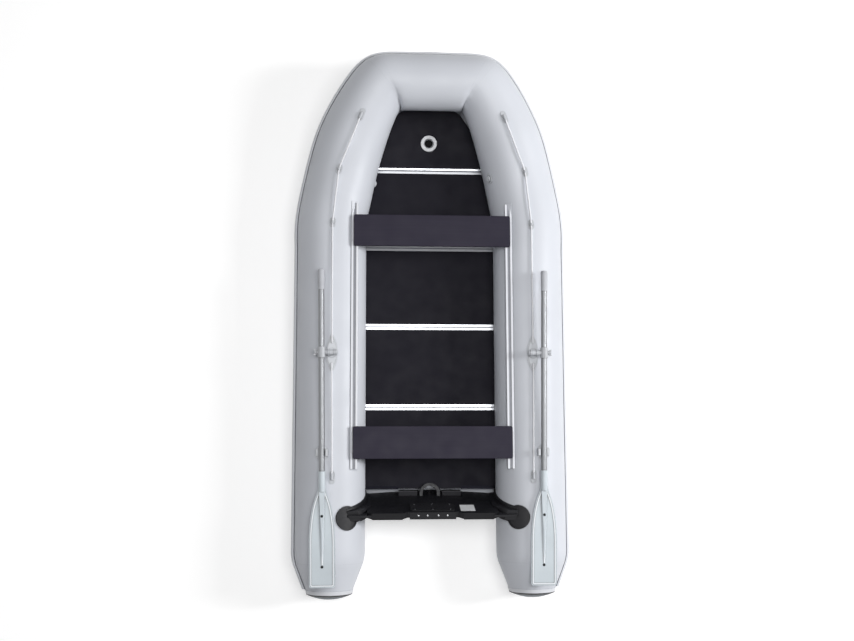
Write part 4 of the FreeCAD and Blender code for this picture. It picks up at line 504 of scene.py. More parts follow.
def welded(mesh, reach, outwards):
    """Merges a mesh's doubled points and, where asked, turns its faces outwards."""
    shell = bmesh.new()
    shell.from_mesh(mesh)
    bmesh.ops.remove_doubles(shell, verts=shell.verts, dist=reach)
    if outwards:
        bmesh.ops.recalc_face_normals(shell, faces=shell.faces)
    shell.to_mesh(mesh)
    shell.free()


def shaded(mesh, crease):
    """Smooth, with sharp edges where the surface turns by more than the crease."""
    mesh.polygons.foreach_set("use_smooth", [True] * len(mesh.polygons))
    mesh.set_sharp_from_angle(angle=crease)
    mesh.update()


def new_piece(name, points, faces, material, slot):
    mesh = bpy.data.meshes.new(name)
    mesh.from_pydata([tuple(point) for point in points], [], faces)
    piece = placed(name, mesh)
    mesh.materials.append(MATERIALS[material])
    welded(mesh, WELD, True)
    shaded(mesh, CREASE)
    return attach(piece, "root")


def grid_faces(rows, columns, wrap_rows=False, wrap_columns=False, start=0):
    faces = []
    for row in range(rows if wrap_rows else rows - 1):
        here = start + row * columns
        there = start + (row + 1) % rows * columns
        for column in range(columns if wrap_columns else columns - 1):
            beside = (column + 1) % columns
            faces.append((here + column, here + beside, there + beside, there + column))
    return faces


def flat(rows):
    return [point for row in rows for point in row]


def mirrored(side, point):
    """A point of the starboard side, on either side."""
    return Vector((side * point.x, point.y, point.z))


def slab_mesh(top, bottom):
    """Points and faces of a closed sheet between two equal grids of points."""
    rows, columns = len(top), len(top[0])
    count = rows * columns
    points = flat(top) + flat(bottom)
    faces = grid_faces(rows, columns) + grid_faces(rows, columns, start=count)
    rim = list(range(columns))
    rim += [row * columns + columns - 1 for row in range(1, rows)]
    rim += [(rows - 1) * columns + column for column in range(columns - 2, -1, -1)]
    rim += [row * columns for row in range(rows - 2, 0, -1)]
    for here, there in zip(rim, rim[1:] + rim[:1]):
        faces.append((here, there, there + count, here + count))
    return points, faces


def sheet(name, rows, columns, lifts, at, material, slot):
    """A thin closed piece over a grid: at(row, column, lift) gives its points."""
    layers = [[[at(row, column, lift) for column in columns] for row in rows]
              for lift in lifts]
    return new_piece(name, *slab_mesh(*layers), material, slot)


def smooth_curve(knots, values):
    """A natural cubic spline through values at knots, as a function."""
    gaps = np.diff(knots)
    count = len(knots)
    system = np.eye(count)
    right = np.zeros(count)
    for index in range(1, count - 1):
        system[index, index - 1] = gaps[index - 1]
        system[index, index] = 2 * (gaps[index - 1] + gaps[index])
        system[index, index + 1] = gaps[index]
        rise = (values[index + 1] - values[index]) / gaps[index]
        fall = (values[index] - values[index - 1]) / gaps[index - 1]
        right[index] = 6 * (rise - fall)
    bend = np.linalg.solve(system, right)

    def at(spot):
        index = int(np.clip(np.searchsorted(knots, spot) - 1, 0, count - 2))
        gap = gaps[index]
        left = (knots[index + 1] - spot) / gap
        ahead = 1 - left
        curve = (left ** 3 - left) * bend[index] + (ahead ** 3 - ahead) * bend[index + 1]
        return left * values[index] + ahead * values[index + 1] + curve * gap * gap / 6
    return at


# The tubes' surface: a station along the hull gives a centre, a way outward and a radius.

class TubeLine:
    """The starboard tube from its stern end round to the middle of the bow."""

    def __init__(self):
        rows = [(TUBE_OFFSET, BEND_START - BEND_LEAD, TUBE_RADIUS, 0.0, TUBE_RADIUS)]
        for run, offset, taper, rise, heading in BEND_SHARES:
            rows.append((TUBE_OFFSET * offset, BEND_START + BEND_RUN * run,
                         TUBE_RADIUS + BOW_RISE * rise, math.radians(heading),
                         TUBE_RADIUS + (BOW_RADIUS - TUBE_RADIUS) * taper))
        rows.append((0.0, BOW_CENTRE, TUBE_RADIUS + BOW_RISE, math.pi / 2, BOW_RADIUS))
        for x, y, z, heading, radius in rows[-2:-2 - MIRRORED:-1]:
            rows.append((-x, y, z, math.pi - heading, radius))
        table = np.array(rows)
        steps = np.linalg.norm(np.diff(table[:, :3], axis=0), axis=1)
        reach = np.concatenate([[0.0], np.cumsum(steps)])
        self.knots = BEND_START - BEND_LEAD + reach
        self.curves = [smooth_curve(self.knots, table[:, part]) for part in range(5)]
        self.seam = self.knots[1 + SEAM]
        self.middle = self.knots[1 + len(BEND_SHARES)]

    def at(self, station):
        """Centre, outward way and radius; stations on the straight part are Y itself."""
        if station > self.knots[0]:
            x, y, z, heading, radius = [float(curve(station)) for curve in self.curves]
            return Vector((x, y, z)), Vector((math.cos(heading), math.sin(heading), 0)), radius
        radius = TUBE_RADIUS
        slope = (TUBE_RADIUS - CONE_RADIUS) / (CONE_START - CONE_TIP)
        before = station - CONE_START
        if before < -CONE_BLEND / 2:
            radius += slope * before
        elif before < CONE_BLEND / 2:
            radius -= slope * (CONE_BLEND / 2 - before) ** 2 / (2 * CONE_BLEND)
        return Vector((TUBE_OFFSET, station, TUBE_RADIUS)), ACROSS, radius


LINE = TubeLine()
PINCH_DEPTH = 0.0012
PINCH_WIDTH = 0.016
PUCKER_DEPTH = 0.0014
PUCKER_REACH = 0.085
PUCKER_COUNT = 13
PUCKER_PHASE = 1.3
PUCKER_SECOND = 2.1
PINCH_OUTSIDE = 0.45
SWELL = 0.0010
SWELL_WAVES = 3.0


def puckers(station, angle):
    """How the fabric gathers at the mitred seams, and its slight swell above the floor."""
    away = abs(station - LINE.seam)
    inner = max(0.0, -math.cos(angle)) ** 2
    pinch = PINCH_DEPTH * math.exp(-(away / PINCH_WIDTH) ** 2)
    pinch *= PINCH_OUTSIDE + (1 - PINCH_OUTSIDE) * inner
    turn = PUCKER_COUNT * angle
    wave = math.sin(turn + PUCKER_PHASE) + 0.5 * math.sin(PUCKER_SECOND * turn)
    gather = PUCKER_DEPTH * wave * math.exp(-(away / PUCKER_REACH) ** 2) * inner
    swell = SWELL * noise.noise(Vector((station * SWELL_WAVES, math.cos(angle),
                                        math.sin(angle))))
    rested = max(0.0, -math.sin(angle)) ** 4
    return gather + swell * (1 - rested) - pinch


def on_tube(side, station, angle, lift):
    """A point on a tube: the angle runs from its outer side up over the crown."""
    centre, out, radius = LINE.at(station)
    radius += lift + puckers(station, angle)
    return mirrored(side, centre + (out * math.cos(angle) + UP * math.sin(angle)) * radius)


def spread(start, size, steps):
    """Equal steps over a size, both its ends included."""
    return [start + size * step / steps for step in range(steps + 1)]


def stations_between(first, last, spacing):
    return spread(first, last - first, max(1, round((last - first) / spacing)))


def capped_tube(rings):
    """A closed skin from rings of points, its ends filled from their centres."""
    rows, columns = len(rings), len(rings[0])
    points = flat(rings)
    faces = grid_faces(rows, columns, wrap_columns=True)
    for row in (0, rows - 1):
        first, middle = row * columns, len(points)
        points.append(sum(rings[row], Vector()) / columns)
        for column in range(columns):
            faces.append((first + column, first + (column + 1) % columns, middle))
    return points, faces


TURN_STEPS = 144

# Where the tubes' rings run closer and further apart: first and last station, and spacing.
SIDE_RINGS = ((CONE_TIP, CONE_START - 0.06, 0.020), (CONE_START - 0.05, CONE_START + 0.05, 0.008),
              (CONE_START + 0.08, LINE.knots[0], 0.030),
              (LINE.knots[0] + 0.02, LINE.seam - 0.12, 0.012),
              (LINE.seam - 0.115, LINE.seam, 0.004))
BOW_RINGS = ((LINE.seam, LINE.seam + 0.115, 0.004), (LINE.seam + 0.122, LINE.middle, 0.008))


def ring_run(side, station, lift=0.0):
    """One ring of points round a tube."""
    angles = [2 * math.pi * step / TURN_STEPS for step in range(TURN_STEPS)]
    return [on_tube(side, station, angle, lift) for angle in angles]


def make_tubes():
    """Inflated tubes, gathered a little where their sections are mitred together."""
    shells = {}
    for name, side in SIDES:
        shells[name] = [ring_run(side, spot)
                        for run in SIDE_RINGS for spot in stations_between(*run)]
    half = [ring_run(STARBOARD, spot) for run in BOW_RINGS for spot in stations_between(*run)]
    other = [[mirrored(PORT, point) for point in ring] for ring in half[:-1]]
    shells["bow"] = half + other[::-1]
    for name, rings in shells.items():
        piece = new_piece("inflated_tube_" + name, *capped_tube(rings), "tube", "tube_fabric")
        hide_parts("tube_" + name)


TAPE_LIFT = 0.0005
TAPE_SINK = -0.0012
TAPE_SPACING = 0.005
MITRE_TAPE = 0.040
SEAM_TAPE = math.radians(11)
SEAM_PLACE = math.radians(-124)
SEAM_STEPS = 5
SEAM_SPACING = 0.020
SEAM_START = CONE_START + 0.100
SEAM_STOP = LINE.seam - 0.030


def ring_tape(name, side, first, last):
    """A welded strip right round the tube."""
    stations = stations_between(first, last, TAPE_SPACING)
    rings = [ring_run(side, spot, TAPE_LIFT) for spot in stations]
    rings += [ring_run(side, spot, TAPE_SINK) for spot in stations[::-1]]
    faces = grid_faces(len(rings), TURN_STEPS, wrap_rows=True, wrap_columns=True)
    new_piece(name, flat(rings), faces, "tube", "tube_fabric")


def make_tapes():
    """Tapes over the welds: at the bow's mitres, round the cones and along the underside."""
    for name, side in SIDES:
        ring_tape("mitre_tape_" + name, side, LINE.seam - MITRE_TAPE / 2,
                  LINE.seam + MITRE_TAPE / 2)
        ring_tape("cone_tape_" + name, side, CONE_START - MITRE_TAPE,
                  CONE_START - MITRE_TAPE / 2)
        sheet("bottom_seam_" + name, stations_between(SEAM_START, SEAM_STOP, SEAM_SPACING),
              spread(SEAM_PLACE, SEAM_TAPE, SEAM_STEPS), (TAPE_LIFT, TAPE_SINK),
              partial(on_tube, side), "tape", "tube_fabric")


# Rub strakes.
STRAKE_HALF = 0.032
STRAKE_LIP = 0.009
STRAKE_VALLEY = 0.0115
STRAKE_EDGE = 0.0015
STRAKE_SINK = -0.004
STRAKE_FACE = 0.97
STRAKE_ROUNDING = 0.7
STRAKE_LINE_SHARE = 0.055
STRAKE_TAIL_GAP = 0.004
STRAKE_STEPS = 22
STRAIGHT_SPACING = 0.020
BEND_SPACING = 0.015
BOW_SPACING = 0.012


def strake_section():
    """Two rounded beads with a valley: how far out, how high, and how dark its line is."""
    # The lip at the tube is marked fully dark: painted shade where the strake meets the tube.
    lip = ((STRAKE_SINK, 1.0), (STRAKE_EDGE, 1.0), (STRAKE_EDGE * 2, 0.0))
    spots = [(out, -STRAKE_HALF, dark) for out, dark in lip]
    for share in spread(0, 1, STRAKE_STEPS):
        across = STRAKE_HALF * STRAKE_FACE * (2 * share - 1)
        bead = abs(math.sin(2 * math.pi * share)) ** STRAKE_ROUNDING
        out = STRAKE_LIP + (STRAKE_DEPTH - STRAKE_LIP) * bead
        middle = math.exp(-((share - 0.5) / STRAKE_LINE_SHARE) ** 2)
        out = out * (1 - middle) + STRAKE_VALLEY * middle
        spots.append((out, across, middle))
    return spots + [(out, STRAKE_HALF, dark) for out, dark in lip[::-1]]


def strake_piece(name, replaced, sections):
    """A strake from (side, station) sections in order."""
    profile = strake_section()
    points = []
    valley = []
    for side, station in sections:
        centre, out, radius = LINE.at(station)
        for reach, rise, dark in profile:
            points.append(mirrored(side, centre + out * (radius + reach) + UP * rise))
            valley.append(dark)
    columns = len(profile)
    faces = grid_faces(len(sections), columns, wrap_columns=True)
    faces.append(tuple(range(columns)))
    faces.append(tuple(range(len(points) - 1, len(points) - 1 - columns, -1)))
    piece = new_piece(name, points, faces, "strake", "rubber_grey")
    mark_lines_and_shade(piece, points, valley)
    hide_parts(replaced)


def mark_lines_and_shade(piece, points, marks):
    """Stores a 0 to 1 mark at each vertex for the material's dark valley line and painted shade.
    """
    marked = {tuple(round(part, 5) for part in point): mark
              for point, mark in zip(points, marks)}
    layer = piece.data.attributes.new("valley", "FLOAT", "POINT")
    for vertex, item in zip(piece.data.vertices, layer.data):
        item.value = marked.get(tuple(round(part, 5) for part in vertex.co), 0.0)


def make_strakes():
    """Rub strakes along the tubes' outer line."""
    tail = CONE_TIP + CAP_SKIRT + STRAKE_TAIL_GAP
    for name, side in SIDES:
        spots = stations_between(tail, LINE.knots[0], STRAIGHT_SPACING)
        spots += stations_between(LINE.knots[0] + BEND_SPACING, LINE.seam, BEND_SPACING)
        strake_piece("rub_strake_" + name, "strake_" + name, [(side, spot) for spot in spots])
    spots = stations_between(LINE.seam, LINE.middle, BOW_SPACING)
    sections = [(STARBOARD, spot) for spot in spots]
    sections += [(PORT, spot) for spot in spots[-2::-1]]
    strake_piece("rub_strake_bow", "strake_bow", sections)


# The bottom.

def make_bottom():
    """The bottom skin keeps its frame shape, smoothed, with its weave."""
    mesh = NODES["bottom_skin"].data.copy()
    piece = placed("bottom_fabric_skin", mesh)
    welded(mesh, SKIN_WELD, False)
    mesh.materials.clear()
    mesh.materials.append(MATERIALS["skin"])
    shaded(mesh, SKIN_CREASE)
    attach(piece, "root")
    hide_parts("bottom_skin")


# Draping on the frame's own surfaces.

def surface_of(*names):
    """A search tree over the meshes of some frame nodes."""
    points, faces = [], []
    for name in names:
        mesh = NODES[name].data
        start = len(points)
        points += [vertex.co.copy() for vertex in mesh.vertices]
        faces += [tuple(start + index for index in polygon.vertices)
                  for polygon in mesh.polygons]
    return BVHTree.FromPolygons(points, faces)


TUBES = surface_of("tube_port", "tube_starboard", "tube_bow")
SKY = 2.0


def drop(x, y):
    """The tubes' upper surface at a place seen from above: the point and its normal."""
    point, normal = TUBES.ray_cast(Vector((x, y, SKY)), -UP)[:2]
    if point is None:
        return Vector((x, y, 0)), UP
    if normal.z < 0:
        normal = -normal
    return point, normal


def over_tubes(y, x, lift):
    point, normal = drop(x, y)
    return point + normal * lift


STRIP_MARGIN = 0.007
STRIP_FOOT = -0.0005
STRIP_TOP = 0.0022
STRIP_STEPS = 8
STRIP_SPACING = 0.020


def make_rail_strips():
    """The glued strips under the seat rails, laid on the tubes."""
    low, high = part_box("seat_rail_starboard")
    for name, side in SIDES:
        xs = [side * x for x in spread(low.x, high.x - low.x, STRIP_STEPS)]
        ys = stations_between(low.y - STRIP_MARGIN, high.y + STRIP_MARGIN, STRIP_SPACING)
        strip = sheet("rail_base_" + name, ys, xs, (STRIP_TOP, STRIP_FOOT), over_tubes, "tube",
                      "tube_fabric")
        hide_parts("rail_strips")


# Painted shade of the floor joiners' grooves.

def loose_boxes(name):
    """The lowest and highest corners of each separate solid of a frame node."""
    shell = bmesh.new()
    shell.from_mesh(NODES[name].data)
    bmesh.ops.remove_doubles(shell, verts=shell.verts, dist=WELD)
    left = set(shell.verts)
    boxes = []
    while left:
        seen, edge = [], [left.pop()]
        while edge:
            seen.append(edge.pop())
            near = {corner for link in seen[-1].link_edges for corner in link.verts} & left
            left -= near
            edge += near
        places = np.array([tuple(corner.co) for corner in seen])
        boxes.append((Vector(places.min(0)), Vector(places.max(0))))
    shell.free()
    return boxes


GROOVE_HALF = 0.0035
GROOVE_RISE = 0.0003
GROOVE_SINK = 0.0008
GROOVE_END = 0.003
GROOVE_SPACING = 0.050
JOINER_LEAST = 0.40


def make_joiner_groove_shade():
    """A grey sheet along the middle of each joiner's top: painted shade of its groove."""
    long_ones = [box for box in loose_boxes("floor_joiners")
                 if box[1].x - box[0].x > JOINER_LEAST]
    for index, (low, high) in enumerate(sorted(long_ones, key=lambda box: box[0].y)):
        middle = (low.y + high.y) / 2
        xs = stations_between(low.x + GROOVE_END, high.x - GROOVE_END, GROOVE_SPACING)
        ys = [middle + y for y in (-GROOVE_HALF, 0.0, GROOVE_HALF)]
        sheet(f"joiner_groove_shade_{index}", ys, xs, (high.z + GROOVE_RISE, high.z - GROOVE_SINK),
              lambda y, x, height: Vector((x, y, height)), "groove", "joiner_metal")


# Geometry node trees.

class Tree:
    """A small helper round a geometry node tree with named inputs and one material."""

    def __init__(self, name, inputs):
        self.group = bpy.data.node_groups.new(name, "GeometryNodeTree")
        face = self.group.interface
        face.new_socket("Geometry", in_out="INPUT", socket_type="NodeSocketGeometry")
        self.keys = {}
        for label, kind in {**inputs, "Finish": "Material"}.items():
            socket = face.new_socket(label, in_out="INPUT", socket_type="NodeSocket" + kind)
            self.keys[label] = socket.identifier
        face.new_socket("Geometry", in_out="OUTPUT", socket_type="NodeSocketGeometry")
        self.input = self.group.nodes.new("NodeGroupInput")
        self.output = self.group.nodes.new("NodeGroupOutput")

    def given(self, label):
        return self.input.outputs[label]

    def add(self, kind, sockets=None, **settings):
        """The first output of a new node."""
        return added(self.group, kind, sockets, **settings).outputs[0]

    def maths(self, operation, *values):
        return self.add("ShaderNodeMath", dict(enumerate(values)), operation=operation)

    def vector(self, operation, sockets):
        return self.add("ShaderNodeVectorMath", sockets, operation=operation)

    def finish(self, geometry):
        realised = self.add("GeometryNodeRealizeInstances", {"Geometry": geometry})
        painted = self.add("GeometryNodeSetMaterial",
                           {"Geometry": realised, "Material": self.given("Finish")})
        self.group.links.new(painted, self.output.inputs[0])
        return self


def plain_mesh(carrier, tree, values, name, material, body):
    """Runs a tree on a carrier and keeps its result as a plain mesh of its own."""
    modifier = carrier.modifiers.new(name, "NODES")
    modifier.node_group = tree.group
    for label, value in {**values, "Finish": MATERIALS[material]}.items():
        modifier[tree.keys[label]] = value
    graph = bpy.context.evaluated_depsgraph_get()
    mesh = bpy.data.meshes.new_from_object(carrier.evaluated_get(graph), depsgraph=graph)
    mesh.name = name
    bpy.data.objects.remove(carrier)
    piece = placed(name, mesh)
    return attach(piece, body)


BRAID = {"Strands": 6, "Lay": 0.032, "Offset": 0.0034, "Thickness": 0.0016, "Spacing": 0.0026}
RIPPLE = 0.12
RIPPLE_TURN = 6 * math.pi
STRAND_SIDES = 6


def braid_tree():
    """Strands wound both ways round a curve."""
    tree = Tree("rope_braid", {"Strands": "Int", "Lay": "Float", "Offset": "Float",
                               "Thickness": "Float", "Spacing": "Float"})
    sockets = {"Curve": tree.given("Geometry"), "Length": tree.given("Spacing")}
    resampled = tree.add("GeometryNodeResampleCurve", sockets, mode="LENGTH")
    strands = []
    for direction in (1.0, -1.0):
        sockets = {"Geometry": resampled, "Amount": tree.given("Strands")}
        copies = added(tree.group, "GeometryNodeDuplicateElements", sockets, domain="SPLINE")
        length = added(tree.group, "GeometryNodeSplineParameter").outputs["Length"]
        turns = tree.maths("DIVIDE", length, tree.given("Lay"))
        share = tree.maths("DIVIDE", copies.outputs["Duplicate Index"], tree.given("Strands"))
        wound = tree.maths("ADD", tree.maths("MULTIPLY", turns, direction), share)
        angle = tree.maths("MULTIPLY", wound, 2 * math.pi)
        ripple = tree.maths("COSINE", tree.maths("MULTIPLY", turns, RIPPLE_TURN))
        wander = tree.maths("ADD", tree.maths("MULTIPLY", ripple, RIPPLE * direction), 1.0)
        radius = tree.maths("MULTIPLY", tree.given("Offset"), wander)
        normal = tree.add("GeometryNodeInputNormal")
        tangent = tree.add("GeometryNodeInputTangent")
        binormal = tree.vector("CROSS_PRODUCT", {0: tangent, 1: normal})
        reaches = []
        for way, turn in ((normal, "COSINE"), (binormal, "SINE")):
            reach = tree.maths("MULTIPLY", radius, tree.maths(turn, angle))
            reaches.append(tree.vector("SCALE", {0: way, "Scale": reach}))
        sockets = {"Geometry": copies.outputs[0],
                   "Offset": tree.vector("ADD", dict(enumerate(reaches)))}
        strands.append(tree.add("GeometryNodeSetPosition", sockets))
    joined = added(tree.group, "GeometryNodeJoinGeometry")
    for strand in strands:
        tree.group.links.new(strand, joined.inputs[0])
    circle = tree.add("GeometryNodeCurvePrimitiveCircle",
                      {"Resolution": STRAND_SIDES, "Radius": tree.given("Thickness")})
    sockets = {"Curve": joined.outputs[0], "Profile Curve": circle, "Fill Caps": True}
    return tree.finish(tree.add("GeometryNodeCurveToMesh", sockets))


# The lifelines.
ROPE_RADIUS = 0.005
ROPE_LIFT = 0.010
ROPE_BEND = 0.040
ROPE_GAP = 0.0004
BEND_STEPS = 8
LOCK_X, LOCK_Y = 0.597, -0.207
LOCK_ROPE_SET = 0.062
LOCK_PAD_TOP = 0.008
GUIDE_SHARES = ((-0.03, 0.990), (0.345, 0.930))
BOW_TAB_SHARES = (0.690, 0.728)
STERN_TAB = (0.591, -0.909)


def lifted(x, y):
    return drop(x, y)[0] + UP * ROPE_LIFT


def rounded_route(corners, bend):
    """Points of straight runs whose corners are rounded by a radius."""
    route = [corners[0]]
    for before, corner, after in zip(corners, corners[1:], corners[2:]):
        back = (before - corner).normalized()
        ahead = (after - corner).normalized()
        turn = math.pi - back.angle(ahead)
        trim = min(bend * math.tan(turn / 2), (after - corner).length / 2)
        first = corner + back * trim
        last = corner + ahead * trim
        for share in spread(0, 1, BEND_STEPS):
            route.append(first.lerp(corner, share).lerp(corner.lerp(last, share), share))
    route.append(corners[-1])
    return route


def route_curve(name, route):
    curve = bpy.data.curves.new(name, "CURVE")
    curve.dimensions = "3D"
    spline = curve.splines.new("POLY")
    spline.points.add(len(route) - 1)
    for place, point in zip(spline.points, route):
        place.co = (*point, 1.0)
    return placed(name, curve)


def make_lifelines():
    """A taut braided line each side, over its guides and down into the oarlock's eyes."""
    tree = braid_tree()
    crown = drop(LOCK_X, LOCK_Y)[0].z
    rope_top = crown + LOCK_PAD_TOP + ROPE_RADIUS + ROPE_GAP
    bow = lifted(TUBE_OFFSET * BOW_TAB_SHARES[1], BEND_START + BEND_RUN * BOW_TAB_SHARES[0])
    guides = [lifted(TUBE_OFFSET * across, BEND_START + BEND_RUN * along)
              for along, across in GUIDE_SHARES]
    stern = lifted(*STERN_TAB)
    eyes = {way: Vector((LOCK_X, LOCK_Y + way * LOCK_ROPE_SET, rope_top)) for way in (-1, 1)}
    sink = UP * (LOCK_PAD_TOP + ROPE_RADIUS)
    lead = Vector((0, ROPE_BEND / 2, 0))
    runs = [[bow] + guides[::-1] + [eyes[1] + lead, eyes[1], eyes[1] - sink],
            [stern, eyes[-1] - lead, eyes[-1], eyes[-1] - sink]]
    for name, side in SIDES:
        for part, corners in zip(("forward", "after"), runs):
            corners = [mirrored(side, spot) for spot in corners]
            route = rounded_route(corners[:-2], ROPE_BEND)
            route += rounded_route(corners[-3:], ROPE_RADIUS)[1:]
            piece = plain_mesh(route_curve("route", route), tree, BRAID,
                               f"lifeline_{part}_{name}", "rope", "root")
            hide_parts("lifelines")


# Screws.

HEAD_SIDES = 20
HEAD_DEPTH = 0.5
HEAD_DOME = 0.28


def screw_tree():
    """A domed head at every point, facing its stored normal."""
    tree = Tree("screw_heads", {"Radius": "Float"})
    radius = tree.given("Radius")
    head = tree.add("GeometryNodeMeshCylinder",
                    {"Vertices": HEAD_SIDES, "Side Segments": 1, "Fill Segments": 3,
                     "Radius": radius, "Depth": tree.maths("MULTIPLY", radius, HEAD_DEPTH)})
    place = tree.add("GeometryNodeInputPosition")
    parts = added(tree.group, "ShaderNodeSeparateXYZ", {0: place}).outputs
    squares = [tree.maths("POWER", part, 2.0) for part in (parts[0], parts[1])]
    far = tree.maths("POWER", tree.maths("ADD", *squares), 0.5)
    share = tree.maths("DIVIDE", far, radius)
    fall = tree.maths("SUBTRACT", 1.0, tree.maths("POWER", share, 2.0))
    dome = tree.maths("MULTIPLY", fall, tree.maths("MULTIPLY", radius, HEAD_DOME))
    domed = tree.add("GeometryNodeSetPosition",
                     {"Geometry": head, "Selection": tree.maths("GREATER_THAN", parts[2], 0.0),
                      "Offset": tree.add("ShaderNodeCombineXYZ", {2: dome})})
    facing = tree.add("GeometryNodeInputNamedAttribute", {"Name": "facing"},
                      data_type="FLOAT_VECTOR")
    turned = tree.add("FunctionNodeAlignRotationToVector", {"Vector": facing}, axis="Z")
    sockets = {"Points": tree.given("Geometry"), "Instance": domed, "Rotation": turned}
    return tree.finish(tree.add("GeometryNodeInstanceOnPoints", sockets))


SCREWS = screw_tree()


def screws(name, spots, radius, material, body="root"):
    """Screw heads at (point, normal) spots."""
    mesh = bpy.data.meshes.new(name + "_spots")
    mesh.from_pydata([tuple(point) for point, normal in spots], [], [])
    layer = mesh.attributes.new("facing", "FLOAT_VECTOR", "POINT")
    for item, (point, normal) in zip(layer.data, spots):
        item.vector = normal
    plain_mesh(placed(name + "_spots", mesh), SCREWS, {"Radius": radius}, name, material,
               body)


def make_blade_hole_shade():
    """A dark domed disc in each of the blades' holes, as painted shade seen through the hole."""
    for name, side in SIDES:
        facing = Vector(BLADE_FACING)
        spots = [(Vector((side * x, y, z)), facing) for x, y, z in BLADE_HOLES]
        screws("blade_hole_shade_" + name, spots, BLADE_HOLE_SHADE, "trim",
               "oar_" + name)


# The transom's frame: across, out of its front face, and up it.
RAKE = math.radians(17.0)
TRANSOM_FOOT = Vector((0, -1.019, 0.0074))
TRANSOM_THICK = 0.034
TRANSOM_TALL = 0.426
TRANSOM_DIP = 0.024
PAD_FACE = 0.0063
LABEL_START = 0.165
LABEL_LONG = 0.086
LABEL_FOOT = 0.283
LABEL_TALL = 0.104
LABEL_ROWS, LABEL_COLUMNS = 4, 6
LABEL_FACES = (0.0008, 0.0001)

# Screws of the plates and the sill: their places across, and up from the sill, how far their
# heads stand ahead of the transom's forward face, the way they face, and their radius.
SILL = TRANSOM_TALL - TRANSOM_DIP
TRANSOM_OUT = Vector((0, math.cos(RAKE), math.sin(RAKE)))
TRANSOM_RISE = Vector((0, -math.sin(RAKE), math.cos(RAKE)))
SCREW_ROWS = {
    "inner_plate_screws": (
        (-0.105, 0.0, 0.105), (-0.032, -0.118), PAD_FACE + 0.0005, TRANSOM_OUT, 0.0055),
    "outer_plate_screws": (
        (-0.115, 0.0, 0.115), (-0.03, -0.225), -TRANSOM_THICK - 0.0098, -TRANSOM_OUT, 0.0055),
    "sill_screws": (
        (-0.085, -0.032, 0.032, 0.085), (0.0058,), -TRANSOM_THICK / 2 - 0.002, TRANSOM_RISE,
        0.0048),
}


def on_transom(up, across, ahead):
    return TRANSOM_FOOT + ACROSS * across + TRANSOM_OUT * ahead + TRANSOM_RISE * up


def make_transom_details():
    """Screws through the motor's plates and the sill, and a blank label."""
    for name, (places, heights, ahead, facing, radius) in SCREW_ROWS.items():
        spots = [(on_transom(SILL + up, across, ahead), facing)
                 for across in places for up in heights]
        screws(name, spots, radius, "steel")
    sheet("blank_label", spread(LABEL_FOOT, LABEL_TALL, LABEL_ROWS),
          spread(LABEL_START, LABEL_LONG, LABEL_COLUMNS), LABEL_FACES, on_transom, "label",
          "moulding_grey")


# Stage, lights and camera.
CAMERA_PLACE = Vector((-0.47793, -0.79452, 6.71003))
CAMERA_TURNS = (0.12381, -0.0698, -0.00564)
CAMERA_FOCUS_PIXELS = 1068.52
PICTURE_WIDTH = 854
SENSOR = 36.0


def make_camera():
    data = bpy.data.cameras.new("camera")
    data.sensor_width = SENSOR
    data.lens = CAMERA_FOCUS_PIXELS / PICTURE_WIDTH * SENSOR
    camera = placed("camera", data)
    rx, ry, rz = CAMERA_TURNS
    view = Matrix.Rotation(rz, 3, "Z") @ Matrix.Rotation(ry, 3, "Y") @ Matrix.Rotation(rx, 3, "X")
    flip = Matrix.Diagonal((1, 1, -1))
    camera.matrix_world = (Matrix.Translation(CAMERA_PLACE)
                           @ (flip @ view @ flip).transposed().to_4x4())
    bpy.context.scene.camera = camera


FLOOR_REACH = 12.0
FLOOR_WHITE = 0.86
FLOOR_GLOW = 0.45
FLOOR_ROUGHNESS = 0.9


def seen_rays(tree):
    """A factor that is 1 for what the camera, a mirror or a clear surface shows."""
    ray = tree.nodes.new("ShaderNodeLightPath")
    factor = ray.outputs["Is Camera Ray"]
    for name in ("Is Glossy Ray", "Is Transmission Ray"):
        either = added(tree, "ShaderNodeMath", {0: factor, 1: ray.outputs[name]},
                       operation="MAXIMUM")
        factor = either.outputs[0]
    return factor


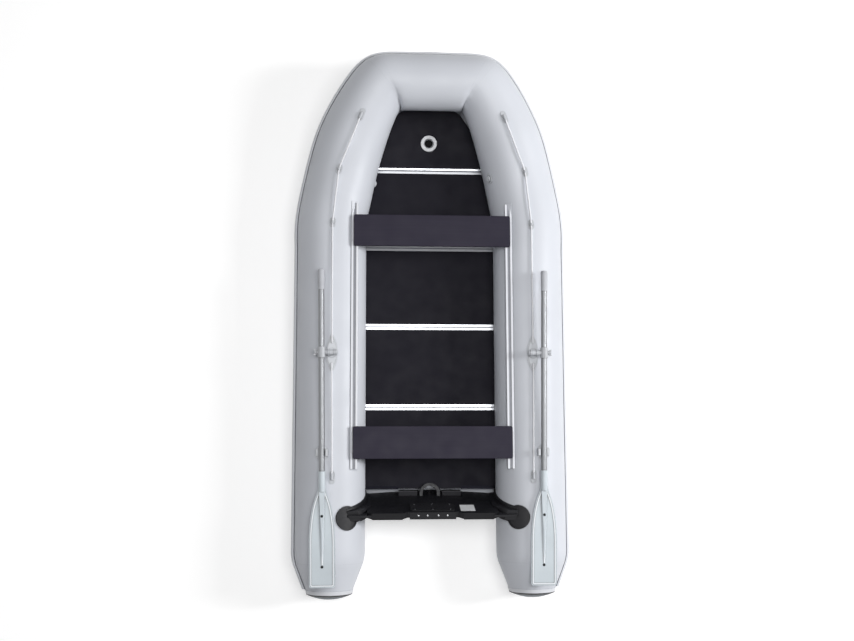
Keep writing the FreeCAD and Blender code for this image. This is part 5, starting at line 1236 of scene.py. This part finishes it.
def make_stage():
    """A plain floor that shows white and keeps the boat's shadow."""
    mesh = bpy.data.meshes.new("floor")
    mesh.from_pydata([(FLOOR_REACH * x, FLOOR_REACH * y, 0)
                      for x, y in ((-1, -1), (1, -1), (1, 1), (-1, 1))], [], [(0, 1, 2, 3)])
    floor = placed("floor", mesh)
    pale = Finish("pale_floor", [FLOOR_WHITE] * 3 + [1], FLOOR_ROUGHNESS)
    amount = pale.maths("MULTIPLY", seen_rays(pale.tree), FLOOR_GLOW)
    glow = pale.node("ShaderNodeEmission", {"Strength": amount})
    both = pale.node("ShaderNodeAddShader", {0: pale.shader.outputs[0], 1: glow.outputs[0]})
    surface = pale.tree.nodes["Material Output"].inputs["Surface"]
    pale.tree.links.new(both.outputs[0], surface)
    mesh.materials.append(pale.material)


def area_lamp(name, place, size, power):
    data = bpy.data.lights.new(name, "AREA")
    data.shape = "RECTANGLE"
    data.size, data.size_y = size
    data.energy = power
    lamp = placed(name, data)
    lamp.location = place
    way = LAMP_AIM - Vector(place)
    lamp.rotation_euler = way.to_track_quat("-Z", "Y").to_euler()


# Each lamp's place, sides and power.
LAMPS = {"key": ((7.6, 0.4, 5.2), (2.0, 3.0), 500), "top": ((0.2, -0.1, 7.6), (3.0, 4.6), 250)}
LAMP_AIM = Vector((0, 0, 0.2))
WORLD_SEEN = 1.0
WORLD_LIGHT = 0.16


def make_light():
    """A wide key lamp from starboard, a soft one from above and a little light all round."""
    world = bpy.data.worlds.new("studio")
    world.use_nodes = True
    tree = world.node_tree
    back = tree.nodes["Background"]
    back.inputs["Color"].default_value = (1, 1, 1, 1)
    strength = added(tree, "ShaderNodeMapRange",
                     {"Value": seen_rays(tree), "To Min": WORLD_LIGHT, "To Max": WORLD_SEEN})
    tree.links.new(strength.outputs[0], back.inputs["Strength"])
    bpy.context.scene.world = world
    for name, values in LAMPS.items():
        area_lamp(name, *values)


def main():
    bpy.context.scene.view_settings.view_transform = "Standard"
    make_camera()
    make_stage()
    make_light()
    dress_frame()
    make_tubes()
    make_tapes()
    make_strakes()
    make_bottom()
    make_rail_strips()
    make_joiner_groove_shade()
    make_lifelines()
    make_blade_hole_shade()
    make_transom_details()


main()
